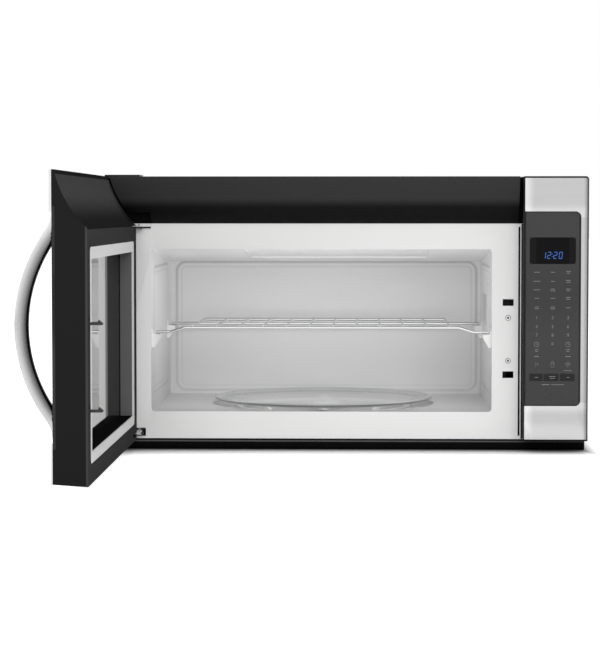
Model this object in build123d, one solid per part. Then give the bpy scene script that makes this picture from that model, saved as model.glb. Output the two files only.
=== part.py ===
from build123d import *
import math
import os

# Over the range microwave oven with a side hinged door, modelled with the door open.
# Frame: X to the right, Y to the wall, Z up, in mm. The origin is on the wall plane, level with
# the underside of the case and midway between its sides. The front faces -Y.

# ---------------------------------------------------------------- case
CASE_W = 760.0          # outside width
CASE_H = 434.4          # underside to top
CASE_D = 395.0          # wall to the front face of the white frame
SHEET = 1.0             # folded steel of the case and cavity
FRAME_T = 1.2           # plate of the front frame and the panels beside it
PLATE_T = 1.5           # wall plate
SEAM = 0.2              # gap left between two fixed pieces
SLIDE_GAP = 0.3         # gap left between a fixed and a moving piece
BASE_H = 17.0           # height of the hood under the cavity
FRAME_FOOT = 0.6        # lower edge of the white frame above the hood
BAND_H = 74.3           # curved band, from the white frame to the case top
GROOVE_IN = 7.0         # dark groove in the frame, left of the control panel
GROOVE_W = 3.0
GROOVE_END = 5.0        # plate left above and below the groove
BAY_LEFT_IN = 24.0      # opening behind the control panel, in from the panel's edges
BAY_RIGHT_IN = 25.5
BAY_Z0 = 70.0
BAY_TOP_IN = 30.1       # opening's upper edge below the frame's
FRAME_SCREW_Z = (142.4, 210.7)
FRAME_SCREW_R = 2.0
FRAME_SCREW_HEAD = 1.2
CASE_SCREW_R = 3.5
CASE_SCREW_HEAD = 1.4

# ---------------------------------------------------------------- cavity
CAVITY_LEFT_IN = 68.9   # cavity wall in from the case side
LATCH_STRIP = 45.7      # cavity wall to the closed door's free edge
CAVITY_RISE = 43.5      # cavity floor above the hood
CAVITY_HEAD = 40.5      # frame left above the cavity mouth
CAVITY_BACK = 21.0      # cavity's back wall to the kitchen wall
CEILING_DROP = 28.0     # the ceiling falls this much towards the back
MOUTH_R = 6.0           # corner radius of the mouth
EMBOSS = 2.5            # depth of the pressed panels
EMBOSS_INSET = 8.0      # back wall panel from the corners
EMBOSS_R = 15.0
CEILING_PANEL_W = 295.0
CEILING_PANEL_D = 246.0
CEILING_PANEL_IN = 5.0
CEILING_PANEL_OFF = 26.0  # panel right of the cavity's middle
FLOOR_DISH = 14.0       # round well in the floor for the roller ring
DISH_CLEAR = 3.0        # well wall to the glass plate
PORT_W = 92.0           # waveguide port, along Y
PORT_H = 42.0
PORT_BELOW = 104.6      # middle of the port below the cavity's top
PORT_DEPTH = 205.0      # middle of the port, from the front plane
LAMP_HOLE_R = 16.0
LAMP_BELOW = 54.6       # lamp below the cavity's top
LAMP_DEPTH = 120.0      # lamp from the front plane
LAMP_HOLES = 5          # rows and columns of small holes
LAMP_PITCH = 6.0
LAMP_SMALL_R = 1.8
GUIDE_W = 24.0          # waveguide, from the cavity wall to the magnetron

# ---------------------------------------------------------------- turntable and rack
PLATE_CLEAR = 6.0       # glass plate to the cavity walls
PLATE_SLOPE_W = 15.0    # sloping border of the plate
PLATE_RIM = 9.5         # underside of the plate to the top of its rim
GLASS_PLATE_T = 5.0
WHEEL_R = 7.7
WHEEL_T = 8.0
WHEEL_TRACK_IN = 31.0   # wheels in from the plate's edge
WHEEL_ANGLES = (90, 234, 306)
AXLE_R = 2.5
HUB_R = 9.0             # boss of the coupler
RING_W = 7.0
RING_T = 4.0
COUPLER_R = 24.0
COUPLER_ARM_W = 12.0
SHAFT_R = 3.5
SHAFT_FIT = 0.05        # radial running clearance of shafts and pins
MOTOR_R = 25.0
MOTOR_H = 18.0
RACK_RISE = 132.0       # front and back rails above the cavity floor
RACK_DIP = 7.0          # the rail ends drop this much on to the clips
RAIL_R = 2.3
WIRE_R = 1.6
RACK_FRONT = 38.0       # front rail, from the front plane
RACK_BACK_IN = 42.0     # back rail to the cavity's back wall
RACK_MIDDLE_IN = 148.0  # middle rail in front of the back rail
RACK_SIDE_GAP = 5.0     # rail end to the cavity wall
RAIL_BEND = 45.0        # length of the bend at each rail end
WIRE_MARGIN = 10.0      # rail left between a bend and the first wire
WIRE_PITCH = 37.5
CLIP_W = 13.0
CLIP_H = 21.0           # shelf to the lower end
CLIP_TOE = 4.0          # width of the clip's lower end
CLIP_LIP = 10.0         # lip above the shelf
CLIP_LIP_W = 3.0
CLIP_FRONT = 28.0       # clip in front of its rail
CLIP_BACK = 4.0
CLIP_SCREW_R = 2.5

# ---------------------------------------------------------------- door
DOOR_T = 50.0
DOOR_GAP = 1.5          # closed door to the white frame
DOOR_SIDE_IN = 0.5      # closed door and control panel, in from the case sides
DOOR_BOTTOM = 21.6      # lower edge at the front
DOOR_BOTTOM_BACK = 18.5
DOOR_WALL = 3.0
TRIM_T = 3.2            # the steel trims stand this much proud of the glass
TRIM_SKIN = 1.0         # sheet that the trims are folded from
TOP_TRIM_H = 54.9
BOTTOM_TRIM_H = 52.9
GLASS_T = 4.0
GLASS_UNDER = 7.0       # the glass runs this far under the trims
RING_LEFT = 26.6        # light bezel on the inner face, beyond the cavity mouth
RING_RIGHT = 15.7
RING_BELOW = 15.0
RING_ABOVE = 13.1
BEZEL_W = 16.0
BEZEL_T = 2.0
BEZEL_R = 9.0
PANE_DEPTH = 21.0       # inner face of the door to the inner window
PANE_T = 3.0
PANE_OVERLAP = 6.0
SCREEN_T = 0.8
CHOKE_T = 2.0
PIN_IN_X = 13.0         # hinge pin from the closed door's left edge
PIN_IN_Y = 15.5         # hinge pin behind the front plane
PIN_R = 3.0
PIN_L = 13.0
OPEN_DEG = 90.0         # the door is modelled this far open
HINGE_T = 2.5
UPPER_HINGE_IN = 6.9    # hinge arms in from the frame's upper and lower edge
LOWER_HINGE_IN = 7.9
HINGE_ARM_R = 7.0
HINGE_ARM_L = 57.0      # the arm's right edge, from the case side
HINGE_ARM_D = 20.0      # depth of the wide part of the arm
HINGE_CLEAR = 1.0
UPPER_NOTCH_L = 69.0    # notches in the frame, from the case side
LOWER_NOTCH_L = 60.0
LOWER_NOTCH_IN = 3.4
LOWER_NOTCH_H = 13.0
HINGE_SCREW_STEPS = (35.0, 50.0)  # from the case side
HINGE_SCREW_HEAD = 1.0

# ---------------------------------------------------------------- curved band and top
BAND_REACH = 42.0       # the band's top edge in front of its foot
BAND_R = 148.8
BAND_T = 2.5
BAND_GAP = 3.0          # band to the closed door
MITRE_GAP = 3.5         # band's left end to the open door
BAND_RIGHT_IN = 7.5     # band's right end, left of the control panel
BAND_NOTCH_L = 69.0     # notch above the hinge, from the case side
BAND_NOTCH_H = 18.0
TAB_L = 55.0            # cap over the mitre, from the case side
TAB_T = 2.7
GRILLE_END_IN = 4.5     # grille's right end, in from the band's
GRILLE_T = 3.0
GRILLE_BAR = 4.0
GRILLE_PITCH = 14.0
OUTLET_W = 46.0         # air outlet slots in the upper panel
OUTLET_H = 34.0
OUTLET_GAP = 12.0
OUTLET_DOWN = 12.0      # slots below the case top
CARBON_SIDE = 11.2      # carbon filter in from the cavity's sides
CARBON_H = 52.0
CARBON_T = 17.8
DUCT_W = 254.0          # standard hood duct opening
DUCT_D = 82.6
DUCT_BACK = 46.0        # duct opening from the wall plane
COLLAR_H = 30.0
COLLAR_STOP = 8.0       # the flap's stop above the collar's lower edge
FLAP_T = 1.5
FLAP_PIN_R = 2.0
FLAP_PIN_IN = 5.0       # flap pin in from the duct opening's back edge

# ---------------------------------------------------------------- handle
HANDLE_APEX = 47.5      # outer face of the bow in front of the trims
HANDLE_T = 18.3
HANDLE_W = 22.0
HANDLE_EDGE = 2.0       # handle in from the free edge of the door
HANDLE_END_IN = 3.57    # handle's ends in from the trims
HANDLE_FLARE_R = 40.0
HANDLE_TIP = 1.5
HANDLE_SCREW_IN = 24.93  # screws in from the handle's ends
HANDLE_SOFT = 5.0       # rounding of the bow's long edges

# ---------------------------------------------------------------- latch
HOOK_Z = (120.1, 235.0)  # middles of the two latch slots
HOOK_DROP = 1.0         # the hooks hang this much below the middle
HOOK_IN = 24.0          # hooks in from the door's free edge
HOOK_W = 10.0
HOOK_REACH = 18.5
HOOK_ARM_H = 3.4
HOOK_HEAD_H = 7.0
HOOK_HEAD_L = 6.0
LATCH_TRAVEL = 2.0
LATCH_T = 7.0
LATCH_MARGIN = 14.0     # bar beyond the hooks
SLOT_LEFT = 4.6         # latch slots in the white frame, beyond the hooks
SLOT_RIGHT = 2.8
SLOT_HALF_H = 5.3
SPRING_R = 3.5
SPRING_WIRE_R = 0.5
SPRING_L = 20.0
SPRING_TURNS = 7

# ---------------------------------------------------------------- control panel
PANEL_W = 99.5
PANEL_GAP = 3.0         # closed door to the control panel
PANEL_BOTTOM = 19.0
PANEL_RIM = 2.5         # plastic rim beyond the steel
PANEL_WALL = 2.5
PANEL_TRIM_T = 3.2
PANEL_CORNER_R = 5.0
TOUCH_RIM = 12.1        # steel right of the touch glass
TOUCH_R = 8.6
TOUCH_IN = 1.0          # glass behind the steel face
WINDOW_LEFT = 7.3       # clock window in from the panel's left and right edge
WINDOW_RIGHT = 20.1
WINDOW_DOWN = 40.6      # clock window below the touch glass's upper edge
WINDOW_H = 41.7
WINDOW_T = 0.6
BOARD_DEPTH = 22.0      # circuit board behind the panel's face
BOARD_T = 1.6
BOARD_Z0 = 50.0
BOARD_TOP_IN = 24.4     # board's upper edge below the case top
BOARD_SIDE_GAP = 1.0

# ---------------------------------------------------------------- hood
HOOD_WALL = 1.2
HOOD_LEDGE = 6.0        # filters and lenses reach this far beyond their openings
FILTER_X0 = 85.0        # filter openings, from the middle
FILTER_SIDE = 55.0      # filter openings, from the case side
FILTER_FRONT = 95.0     # from the front plane
FILTER_D = 175.0
FILTER_T = 8.0
FILTER_BAR_PITCH = 18.7
LENS_SIDE = 80.0        # lamp lenses, from the case side
LENS_W = 95.0
LENS_FRONT = 22.0       # from the front plane
LENS_D = 44.0
LENS_T = 3.0

# ---------------------------------------------------------------- hood blower
BLOWER_DOWN = 68.4      # shaft below the case top
BLOWER_R = 34.0
BLOWER_WHEEL_L = 58.0
BLOWER_GAP = 45.0       # inner end of each wheel from the middle
BLOWER_BOX_R = 44.0
BLOWER_THROAT = 30.0    # outlet of the scrolls, in front of and behind the shaft
BLADE_COUNT = 20
BLOWER_SHAFT_R = 4.0
BLOWER_MOTOR_R = 33.0
BLOWER_FOOT_W = 24.0    # half the width of the motor's foot

# ---------------------------------------------------------------- power parts
FAN_BACK = 50.0         # fan frame's front from the rear panel
FAN_DOWN = 164.4        # fan axis below the case top
FAN_HALF = 58.0
FAN_DEPTH = 25.0
FAN_HOLE_R = 54.0
FAN_BLADE_R = 50.0
FAN_SHAFT_R = 3.0
FAN_BLADES = 5
CORE_W = 90.0           # laminated core of the transformer
CORE_D = 60.0
CORE_H = 72.0
CORE_BACK = 120.0       # its middle from the rear face of the case
COIL_REACH = 44.0       # windings in front of and behind its middle
CAN_W = 52.0            # capacitor
CAN_T = 34.0
CAN_L = 84.0
CAN_GAP = 15.3          # capacitor to the transformer
TUBE_HALF = 44.0        # half the width of the magnetron's plates
TUBE_RISE = 45.0        # magnetron above the middle of the port

# ---------------------------------------------------------------- wall plate and mounts
STUD_PITCH = 406.4      # two wall studs, 16 in apart
WALL_ROW_PITCH = 120.0
WALL_ROW_Z = 95.0       # middle of the wall bolt rows
WALL_BOLT_R = 4.5
WALL_PLATE_IN = 20.0    # wall plate in from the case sides
WALL_PLATE_H = 200.0
TOP_BOLT_PITCH = 560.0  # two bolts down through the cabinet floor
TOP_BOLT_Y = -200.0
TOP_BOLT_R = 4.0

# ---------------------------------------------------------------- planes and sizes that follow
P1 = -CASE_D                            # front face of the white frame
P0 = P1 - DOOR_GAP - DOOR_T             # front face of the closed door and the control panel
HALF_W = CASE_W / 2
IN_W = HALF_W - SHEET
BACK_Y = -PLATE_T - SEAM                # outer face of the rear panel
BAY_FRONT = P1 + FRAME_T
FLOOR_Z = BASE_H + SHEET
FRAME_BOTTOM = BASE_H + FRAME_FOOT
FRAME_TOP = CASE_H - BAND_H

PANEL_X1 = HALF_W - DOOR_SIDE_IN
PANEL_X0 = PANEL_X1 - PANEL_W
DOOR_X0 = -HALF_W + DOOR_SIDE_IN
DOOR_X1 = PANEL_X0 - PANEL_GAP

CAVITY_X0 = -HALF_W + CAVITY_LEFT_IN
CAVITY_X1 = DOOR_X1 - LATCH_STRIP
CAVITY_FLOOR = BASE_H + CAVITY_RISE
CAVITY_TOP = FRAME_TOP - CAVITY_HEAD    # height of the mouth's upper edge
CAVITY_D = CASE_D - CAVITY_BACK
PORT_Z = CAVITY_TOP - PORT_BELOW
LAMP_Y = P1 + LAMP_DEPTH
LAMP_Z = CAVITY_TOP - LAMP_BELOW
BAY_X = (CAVITY_X1 + SHEET + IN_W) / 2  # middle of the bay with the power parts

TABLE_X = (CAVITY_X0 + CAVITY_X1) / 2   # turntable axis
TABLE_Y = P1 + CAVITY_D / 2
PLATE_R = min(CAVITY_X1 - CAVITY_X0, CAVITY_D) / 2 - PLATE_CLEAR
PLATE_FLAT_R = PLATE_R - PLATE_SLOPE_W
FLOOR_DISH_R = PLATE_R + DISH_CLEAR
WHEEL_TRACK_R = PLATE_R - WHEEL_TRACK_IN
DISH_Z = CAVITY_FLOOR - FLOOR_DISH
WHEEL_Z = DISH_Z + SLIDE_GAP + WHEEL_R
GLASS_PLATE_Z = WHEEL_Z + WHEEL_R + SLIDE_GAP
RACK_Z = CAVITY_FLOOR + RACK_RISE
RACK_BACK = CAVITY_D - RACK_BACK_IN
RACK_MIDDLE = RACK_BACK - RACK_MIDDLE_IN

DOOR_BACK = P0 + DOOR_T
GLASS_Y = P0 + TRIM_T
TOP_TRIM_Z = CASE_H - TOP_TRIM_H
BOTTOM_TRIM_Z = DOOR_BOTTOM + BOTTOM_TRIM_H
GLASS_Z0 = BOTTOM_TRIM_Z - GLASS_UNDER
GLASS_Z1 = TOP_TRIM_Z + GLASS_UNDER
RING_X0 = CAVITY_X0 - RING_LEFT
RING_X1 = CAVITY_X1 + RING_RIGHT
RING_Z0 = CAVITY_FLOOR - RING_BELOW
RING_Z1 = CAVITY_TOP + RING_ABOVE
WIN_X0 = RING_X0 + BEZEL_W              # window opening
WIN_X1 = RING_X1 - BEZEL_W
WIN_Z0 = RING_Z0 + BEZEL_W - 1.5
WIN_Z1 = RING_Z1 - BEZEL_W
PANE_Y = DOOR_BACK - PANE_DEPTH         # cavity side of the inner window
PIN_X = DOOR_X0 + PIN_IN_X
PIN_Y = P0 + PIN_IN_Y
HINGE_SOLID_X = PIN_X + 15              # the tray is solid up to here
UPPER_HINGE_Z = FRAME_TOP - UPPER_HINGE_IN
LOWER_HINGE_Z = FRAME_BOTTOM + LOWER_HINGE_IN
HINGE_ARM_X = -HALF_W + HINGE_ARM_L
LOWER_NOTCH_Z0 = FRAME_BOTTOM + LOWER_NOTCH_IN
LOWER_NOTCH_Z1 = LOWER_NOTCH_Z0 + LOWER_NOTCH_H
GROOVE_X = PANEL_X0 - GROOVE_IN
BAND_RIGHT = PANEL_X0 - BAND_RIGHT_IN
BAND_NOTCH_X = -HALF_W + BAND_NOTCH_L
TAB_X1 = -HALF_W + TAB_L
GRILLE_X1 = BAND_RIGHT - GRILLE_END_IN

HANDLE_Z = (TOP_TRIM_Z + BOTTOM_TRIM_Z) / 2 + 2.6
HANDLE_HALF = (TOP_TRIM_Z - BOTTOM_TRIM_Z) / 2 - HANDLE_END_IN
HANDLE_RISE = HANDLE_APEX + TRIM_T - HANDLE_TIP
HANDLE_R = (HANDLE_HALF**2 + HANDLE_RISE**2) / (2 * HANDLE_RISE) - HANDLE_FLARE_R
HANDLE_SCREW = HANDLE_HALF - HANDLE_SCREW_IN
HANDLE_X1 = DOOR_X1 - HANDLE_EDGE
HANDLE_X0 = HANDLE_X1 - HANDLE_W
HANDLE_X = (HANDLE_X0 + HANDLE_X1) / 2

HOOK_X0 = DOOR_X1 - HOOK_IN
HOOK_X1 = HOOK_X0 + HOOK_W
SLOT_X0 = HOOK_X0 - SLOT_LEFT
SLOT_X1 = HOOK_X1 + SLOT_RIGHT
FRAME_SCREW_X = (SLOT_X0 + SLOT_X1) / 2
LATCH_X0 = HOOK_X0 + 4
LATCH_X1 = LATCH_X0 + HOOK_W
LATCH_Y1 = DOOR_BACK - DOOR_WALL - SLIDE_GAP
LATCH_Y0 = LATCH_Y1 - LATCH_T
LATCH_Z0 = HOOK_Z[0] - LATCH_MARGIN
LATCH_Z1 = HOOK_Z[1] + LATCH_MARGIN
SPRING_Z0 = LATCH_Z0 - SPRING_L

TOUCH_X1 = PANEL_X1 - TOUCH_RIM
WINDOW_X0 = PANEL_X0 + WINDOW_LEFT
WINDOW_X1 = PANEL_X1 - WINDOW_RIGHT
WINDOW_Z1 = TOP_TRIM_Z - WINDOW_DOWN
WINDOW_Z0 = WINDOW_Z1 - WINDOW_H
BOARD_Y0 = P0 + BOARD_DEPTH
BOARD_Z1 = CASE_H - BOARD_TOP_IN

FILTER_X1 = HALF_W - FILTER_SIDE
FILTER_Y0 = P1 + FILTER_FRONT
FILTER_Y1 = FILTER_Y0 + FILTER_D
LENS_X1 = HALF_W - LENS_SIDE
LENS_X0 = LENS_X1 - LENS_W
LENS_Y0 = P1 + LENS_FRONT
LENS_Y1 = LENS_Y0 + LENS_D

DUCT_Y1 = -DUCT_BACK
DUCT_Y0 = DUCT_Y1 - DUCT_D
COLLAR_Z0 = CASE_H - COLLAR_H
FLAP_BED = COLLAR_Z0 + COLLAR_STOP + SLIDE_GAP      # underside of the closed flap
FLAP_Z = FLAP_BED + FLAP_T / 2 + 1.5                # flap pin
BLOWER_Y = DUCT_Y0 + DUCT_D / 2
BLOWER_Z = CASE_H - BLOWER_DOWN
FAN_Y = BACK_Y - SHEET - FAN_BACK
FAN_Z = CASE_H - FAN_DOWN


def ceiling_z(y):
    """Height of the cavity ceiling at a depth."""
    return CAVITY_TOP - CEILING_DROP * (y - P1) / CAVITY_D


BLOWER_FOOT_Z = ceiling_z(BLOWER_Y - 20) + SHEET + SEAM


def band_axis():
    """Centre of the band's arc in (y, z), from its foot, its reach and its radius."""
    rise = CASE_H - FRAME_TOP
    chord = math.hypot(BAND_REACH, rise)
    middle = (P1 - BAND_REACH / 2, FRAME_TOP + rise / 2)
    off = math.sqrt(BAND_R**2 - (chord / 2) ** 2)
    return middle[0] + off * rise / chord, middle[1] + off * BAND_REACH / chord


BAND_Y, BAND_Z = band_axis()

# ---------------------------------------------------------------- building blocks


def block(x0, x1, y0, y1, z0, z1):
    """Box between two corners."""
    middle = Pos((x0 + x1) / 2, (y0 + y1) / 2, (z0 + z1) / 2)
    return middle * Box(x1 - x0, y1 - y0, z1 - z0)


def rod(x, y, z, radius, length, along="z"):
    """Round bar that starts at a point and runs along one axis."""
    turn = {"x": Rot(0, 90, 0), "y": Rot(-90, 0, 0), "z": Rot(0, 0, 0)}[along]
    bar = Cylinder(radius, length, align=(Align.CENTER, Align.CENTER, Align.MIN))
    return Pos(x, y, z) * turn * bar


def ring(x, y, z, outer, inner, length, along="z"):
    """Round tube that starts at a point and runs along one axis."""
    return rod(x, y, z, outer, length, along) - rod(x, y, z, inner, length, along)


def rounded(x0, x1, z0, z1, y0, y1, radius):
    """Upright plate with rounded corners, from y0 back to y1."""
    face = RectangleRounded(x1 - x0, z1 - z0, radius)
    plane = Plane(origin=((x0 + x1) / 2, y0, (z0 + z1) / 2), x_dir=(1, 0, 0), z_dir=(0, 1, 0))
    return extrude(plane * face, amount=y1 - y0)


def along_x(face, x0, x1):
    """A face drawn in (y, z), made solid from x0 to x1."""
    return extrude(Plane.YZ.offset(x0) * face, amount=x1 - x0)


def outline(*points):
    """Face inside straight lines."""
    return make_face(Polyline(*points, close=True))


def screw(x, y, z, radius, length, along, head=1.9, head_t=2.0):
    """Screw whose head starts at the point, with its shank along one axis."""
    top = rod(x, y, z, radius * head, head_t, along)
    step = {"x": (head_t, 0, 0), "y": (0, head_t, 0), "z": (0, 0, head_t)}[along]
    return top + rod(x + step[0], y + step[1], z + step[2], radius, length, along)


def opened(piece):
    """A door piece, turned about the hinge pin from closed to open."""
    return Pos(PIN_X, PIN_Y, 0) * Rot(0, 0, -OPEN_DEG) * Pos(-PIN_X, -PIN_Y, 0) * piece


def write(name, *solids):
    """One file for each node."""
    flat = []
    for item in solids:
        flat += item.solids()
    shape = flat[0] if len(flat) == 1 else Compound(children=flat)
    export_step(shape, f"parts/{name}.step")


# ---------------------------------------------------------------- case


def wall_bolts(y0, y1, radius):
    """Four bars at the wall bolts, to cut holes with."""
    bars = []
    for side in (-1, 1):
        for row in (-1, 1):
            x = side * STUD_PITCH / 2
            z = WALL_ROW_Z + row * WALL_ROW_PITCH / 2
            bars.append(rod(x, y0, z, radius, y1 - y0, "y"))
    return bars


def wall_plate():
    """Steel plate on the kitchen wall, which the case hangs on."""
    half = HALF_W - WALL_PLATE_IN
    plate = block(-half, half, -PLATE_T, 0, 0, WALL_PLATE_H)
    plate -= block(-150, 150, -PLATE_T, 0, 60, WALL_PLATE_H - 25)
    for bar in wall_bolts(-PLATE_T, 0, WALL_BOLT_R):
        plate -= bar
    return plate


def rear_panel():
    """Back sheet of the case, with clearance for the bolts and vents behind the bay."""
    panel = block(-IN_W, IN_W, BACK_Y - SHEET, BACK_Y, BASE_H + SHEET, CASE_H - SHEET - SEAM)
    for bar in wall_bolts(BACK_Y - SHEET, BACK_Y, WALL_BOLT_R * 3):
        panel -= bar
    for row in range(6):
        for column in range(5):
            x = IN_W - 99 + 16 * column
            z = CASE_H - 104 + 14 * row
            panel -= block(x, x + 8, BACK_Y - SHEET, BACK_Y, z, z + 6)
    return panel


def case_wrap():
    """Top and both sides of the case, one folded sheet."""
    outer = block(-HALF_W, HALF_W, P1, BACK_Y, BASE_H + SEAM, CASE_H)
    inner = block(-IN_W, IN_W, P1, BACK_Y, BASE_H + SEAM, CASE_H - SHEET)
    wrap = outer - inner
    wrap -= block(-DUCT_W / 2, DUCT_W / 2, DUCT_Y0, DUCT_Y1, CASE_H - SHEET, CASE_H)
    for side in (-1, 1):
        wrap -= rod(side * TOP_BOLT_PITCH / 2, TOP_BOLT_Y, CASE_H - SHEET, TOP_BOLT_R, SHEET)
    return wrap


def hood_openings(grow, z0, z1):
    """Blocks at the four hood openings, each grown on all its sides."""
    cuts = []
    for side in (-1, 1):
        near, far = sorted((side * FILTER_X0, side * FILTER_X1))
        cuts.append(block(near - grow, far + grow, FILTER_Y0 - grow, FILTER_Y1 + grow, z0, z1))
        near, far = sorted((side * LENS_X0, side * LENS_X1))
        cuts.append(block(near - grow, far + grow, LENS_Y0 - grow, LENS_Y1 + grow, z0, z1))
    return cuts


def base_pan():
    """Underside of the hood: a shallow pan with a chamfered front edge."""
    pan = block(-IN_W, IN_W, P1 + SEAM, BACK_Y - SHEET - SEAM, 0, BASE_H)
    front = pan.edges().filter_by(Axis.X).sort_by(Axis.Z)[:2].sort_by(Axis.Y)[0]
    pan = chamfer(front, 3, 6)
    pan -= block(-IN_W + HOOD_WALL, IN_W - HOOD_WALL, P1 + SEAM + 8, BACK_Y - SHEET - 4, HOOD_WALL, BASE_H)
    for cut in hood_openings(0, 0, HOOD_WALL):
        pan -= cut
    return pan


def base_plate():
    """Steel floor of the case, open above the filters as far as the cavity reaches."""
    plate = block(-IN_W + SEAM, IN_W - SEAM, BAY_FRONT + SEAM, BACK_Y - SHEET - SEAM, BASE_H, FLOOR_Z)
    for side in (-1, 1):
        near, far = sorted((side * FILTER_X0, side * FILTER_X1))
        plate -= block(near + 6, min(far, CAVITY_X1) - 6, FILTER_Y0 + 6, FILTER_Y1 - 6, BASE_H, FLOOR_Z)
    return plate


def grease_filters():
    """Two flat grease filters: an aluminium rim round a grid of bars."""
    filters = []
    for side in (-1, 1):
        near, far = sorted((side * FILTER_X0, side * FILTER_X1))
        frame = block(near - HOOD_LEDGE, far + HOOD_LEDGE, FILTER_Y0 - HOOD_LEDGE, FILTER_Y1 + HOOD_LEDGE,
                      HOOD_WALL, HOOD_WALL + FILTER_T)
        frame -= block(near + 8, far - 8, FILTER_Y0 + 8, FILTER_Y1 - 8, HOOD_WALL, HOOD_WALL + FILTER_T)
        bar_count = int((far - near - 16) / FILTER_BAR_PITCH)
        pitch = (far - near - 16) / (bar_count + 1)
        for i in range(bar_count):
            x = near + 8 + pitch * (i + 1)
            frame += block(x - 1, x + 1, FILTER_Y0 + 7, FILTER_Y1 - 7,
                           HOOD_WALL + 2, HOOD_WALL + FILTER_T - 2)
        for y in (FILTER_Y0 + 45, FILTER_Y1 - 45):
            frame += block(near + 7, far - 7, y - 1, y + 1, HOOD_WALL + 3, HOOD_WALL + 5)
        filters.append(frame)
    return filters


def hood_lenses():
    """Two flat lenses that lie on the pan, under the hood lamps."""
    lenses = []
    for side in (-1, 1):
        near, far = sorted((side * LENS_X0, side * LENS_X1))
        lenses.append(block(near - HOOD_LEDGE, far + HOOD_LEDGE, LENS_Y0 - HOOD_LEDGE, LENS_Y1 + HOOD_LEDGE,
                            HOOD_WALL, HOOD_WALL + LENS_T))
    return lenses


def bulb(x, y, z, radius, length, neck):
    """Lamp bulb along X: a neck at the point, and a glass that swells and closes at its end."""
    shape = ((0, 0), (0, neck), (0.35, neck), (0.5, 0.94 * radius), (0.62, radius), (0.76, 0.94 * radius),
             (0.88, 0.72 * radius), (0.96, 0.42 * radius), (1, 0.15 * radius), (1, 0))
    profile = make_face(Polyline(*[(share * length, r) for share, r in shape], close=True))
    return Pos(x, y, z) * revolve(profile, Axis.X)


def hood_lamps():
    """Two small bulbs lying above the lenses, each in its socket."""
    lamps = []
    for side in (-1, 1):
        x = side * (LENS_X0 + LENS_X1) / 2
        y = (LENS_Y0 + LENS_Y1) / 2
        bed = HOOD_WALL + LENS_T
        socket = block(x + 14, x + 34, y - 6, y + 6, bed, BASE_H)
        lamps.append(socket + bulb(x + 14.5, y, bed + 6.5, 5, -19.5, 3.5))
    return lamps


def upper_panel():
    """Black panel behind the band, with a row of air outlets."""
    panel = block(-IN_W + SEAM, IN_W - SEAM, P1, BAY_FRONT, FRAME_TOP + SEAM, CASE_H - SHEET - SEAM)
    pitch = OUTLET_W + OUTLET_GAP
    count = int((CAVITY_X1 - CAVITY_X0 + OUTLET_GAP) / pitch)
    top = CASE_H - OUTLET_DOWN
    for i in range(count):
        x = TABLE_X + (i - (count - 1) / 2) * pitch
        panel -= block(x - OUTLET_W / 2, x + OUTLET_W / 2, P1, BAY_FRONT, top - OUTLET_H, top)
    return panel


def front_frame():
    """White plate across the whole front: cavity mouth, latch slots, groove and control bay."""
    left = -IN_W + SEAM
    frame = rounded(left, -left, FRAME_BOTTOM, FRAME_TOP, P1, BAY_FRONT, 2)
    frame -= block(PANEL_X0 + BAY_LEFT_IN, PANEL_X1 - BAY_RIGHT_IN, P1, BAY_FRONT,
                   BAY_Z0, FRAME_TOP - BAY_TOP_IN)
    frame -= rounded(CAVITY_X0, CAVITY_X1, CAVITY_FLOOR, CAVITY_TOP, P1, BAY_FRONT, MOUTH_R)
    frame -= block(GROOVE_X, GROOVE_X + GROOVE_W, P1, BAY_FRONT,
                   FRAME_BOTTOM + GROOVE_END, FRAME_TOP - GROOVE_END)
    for z in HOOK_Z:
        frame -= block(SLOT_X0, SLOT_X1, P1, BAY_FRONT, z - SLOT_HALF_H, z + SLOT_HALF_H)
    for z in FRAME_SCREW_Z:
        frame -= rod(FRAME_SCREW_X, P1, z, FRAME_SCREW_R + SEAM, FRAME_T, "y")
    frame -= block(left, -HALF_W + UPPER_NOTCH_L, P1, BAY_FRONT, UPPER_HINGE_Z - 3, FRAME_TOP)
    frame -= block(left, -HALF_W + LOWER_NOTCH_L, P1, BAY_FRONT, LOWER_NOTCH_Z0, LOWER_NOTCH_Z1)
    return frame


def frame_screws():
    """Two screws between the latch slots, which hold the interlock bracket."""
    head = FRAME_SCREW_HEAD
    return [screw(FRAME_SCREW_X, P1 - head, z, FRAME_SCREW_R, 9, "y", 2.2, head) for z in FRAME_SCREW_Z]


# ---------------------------------------------------------------- cavity


def cavity_prism(grow):
    """Space of the cavity, grown by a wall on every side but the mouth."""
    back = P1 + CAVITY_D + grow
    face = outline((BAY_FRONT, CAVITY_FLOOR - grow), (back, CAVITY_FLOOR - grow),
                   (back, ceiling_z(back) + grow), (BAY_FRONT, ceiling_z(BAY_FRONT) + grow))
    return along_x(face, CAVITY_X0 - grow, CAVITY_X1 + grow)


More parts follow.
